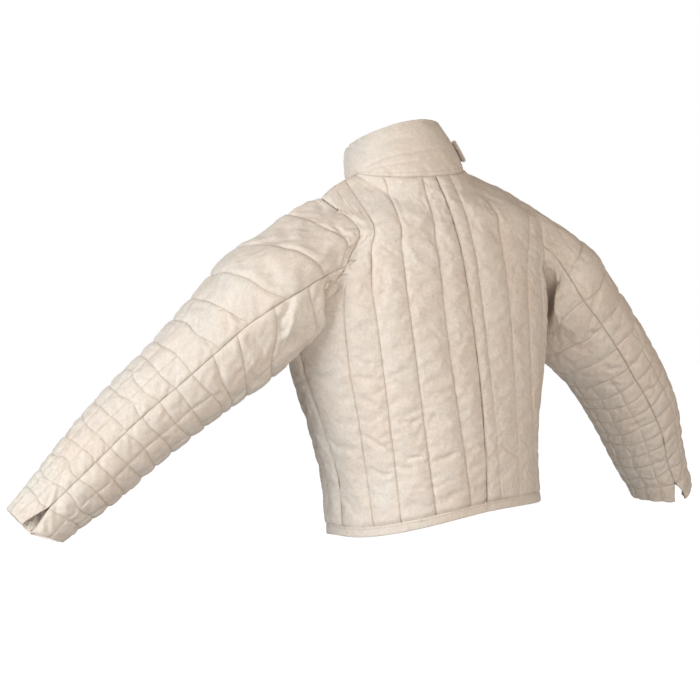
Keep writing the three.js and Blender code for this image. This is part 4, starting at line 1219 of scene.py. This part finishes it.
# ---- The stage ----
CAMERA = {"azimuth": 147, "elevation": 4, "roll": 5.4, "distance": 2.28, "focal_pixels": 1500,
          "target": (0.0955, -0.0451, -0.2489)}
SENSOR = 36.0
IMAGE = 700
FLOOR_HEIGHT = -1.2
FLOOR_RADIUS = 9
LIGHT_DISTANCE = 2.8
STUDIO = {"light": (0.1, 0.09, 0.08, 1), "backdrop": (1.0, 1.0, 1.0, 1), "floor": 1.0}


def aim(azimuth, elevation):
    """The direction from the jacket to something that stands round it."""
    a, e = math.radians(azimuth), math.radians(elevation)
    return Vector((math.sin(a) * math.cos(e), -math.cos(a) * math.cos(e), math.sin(e)))


def make_camera():
    data = bpy.data.cameras.new("camera")
    data.sensor_width = SENSOR
    data.lens = CAMERA["focal_pixels"] / IMAGE * SENSOR
    data.clip_start = 0.05
    camera = add_object("camera", data)
    back = aim(CAMERA["azimuth"], CAMERA["elevation"])
    right = Vector((0, 0, 1)).cross(back).normalized()
    up = back.cross(right)
    turn = Matrix((right, up, back)).transposed().to_4x4()
    roll = Matrix.Rotation(math.radians(-CAMERA["roll"]), 4, "Z")
    place = Vector(CAMERA["target"]) + back * CAMERA["distance"]
    camera.matrix_world = Matrix.Translation(place) @ turn @ roll
    bpy.context.scene.camera = camera


def make_light(name, azimuth, elevation, size, watts, colour):
    data = bpy.data.lights.new(name, "AREA")
    data.shape = "DISK"
    data.size = size
    data.energy = watts
    data.color = colour
    light = add_object(name, data)
    direction = aim(azimuth, elevation)
    light.location = Vector(CAMERA["target"]) + direction * LIGHT_DISTANCE
    light.rotation_euler = direction.to_track_quat("Z", "Y").to_euler()


def make_stage():
    bm = bmesh.new()
    bmesh.ops.create_circle(bm, cap_ends=True, radius=FLOOR_RADIUS, segments=96,
                            matrix=Matrix.Translation((0, 0, FLOOR_HEIGHT)))
    mesh = bpy.data.meshes.new("floor")
    bm.to_mesh(mesh)
    bm.free()
    floor = add_object("floor", mesh)
    material = bpy.data.materials.new("pale floor")
    material.use_nodes = True
    shader = material.node_tree.nodes["Principled BSDF"]
    shader.inputs["Base Color"].default_value = (0.4, 0.4, 0.4, 1)
    shader.inputs["Roughness"].default_value = 0.9
    shader.inputs["Emission Color"].default_value = (1, 1, 1, 1)
    w = Wiring(material.node_tree)
    seen = w.add("ShaderNodeLightPath").outputs["Is Camera Ray"]
    w.set(shader, "Emission Strength", w.math("MULTIPLY", seen, STUDIO["floor"]))
    mesh.materials.append(material)
    world = bpy.data.worlds.new("studio")
    world.use_nodes = True
    w = Wiring(world.node_tree)
    background = world.node_tree.nodes["Background"]
    seen = w.add("ShaderNodeLightPath").outputs["Is Camera Ray"]
    w.set(background, "Color", w.blend(seen, STUDIO["light"], STUDIO["backdrop"]))
    background.inputs["Strength"].default_value = 1.0
    bpy.context.scene.world = world
    bpy.context.scene.view_settings.view_transform = "Standard"


# ---- Assembly ----
make_camera()
make_stage()
make_light("key", 97, 19, 1.8, 61, (0.93, 0.975, 1.0))
make_light("fill", 196, 28, 1.5, 24, (1.0, 0.85, 0.72))
make_light("low fill", 158, -6, 1.4, 25, (1.0, 0.96, 0.91))
make_light("front fill", 340, 25, 2.2, 42, (1.0, 0.97, 0.94))

canvas = canvas_group()
ecru = cotton("ecru canvas", ECRU, PAINTED_GROOVE_SHADE, 0.8, canvas)
tape = cotton("hem tape", ECRU, PAINTED_GROOVE_SHADE, 0.6, canvas)
yarn = cotton("sewing thread", (0.62, 0.5, 0.38, 1), (0.5, 0.4, 0.3, 1), 0.5, canvas)
stitch = make_stitch()

bodies = {f"{face}_{side}": body_piece(face, side)
          for face in ("back", "front") for side in ("left", "right")}
sleeves = {f"sleeve_{side}_{half}": sleeve_piece(side, half)
           for side in ("left", "right") for half in ("outer", "under")}
collar = collar_piece()
flap = flap_piece()
cloths = [*bodies.values(), *sleeves.values(), collar]
share_seams(cloths)
hem = hem_piece(bodies)
fly = fly_piece()


def lay(cloth, points, material=ecru, thick=WALL):
    """Makes a piece of cloth."""
    piece = make_piece(cloth, points, material, thick)


for cloth in cloths:
    points = cloth.surface()
    if cloth is not collar:
        points = points + settle(cloth, EXCESS["sleeve" if cloth.name in sleeves else "body"])
    lay(cloth, points)
    make_threads(cloth, points, stitch, yarn)
lay(flap, flap.surface(), thick=FLAP["wall"])
lay(hem, hem.surface(), tape, HEM_BAND["thick"])
lay(fly, fly.surface(), thick=FLY["thick"])
for cloth in (flap, hem, fly):
    make_threads(cloth, cloth.surface(), stitch, yarn)
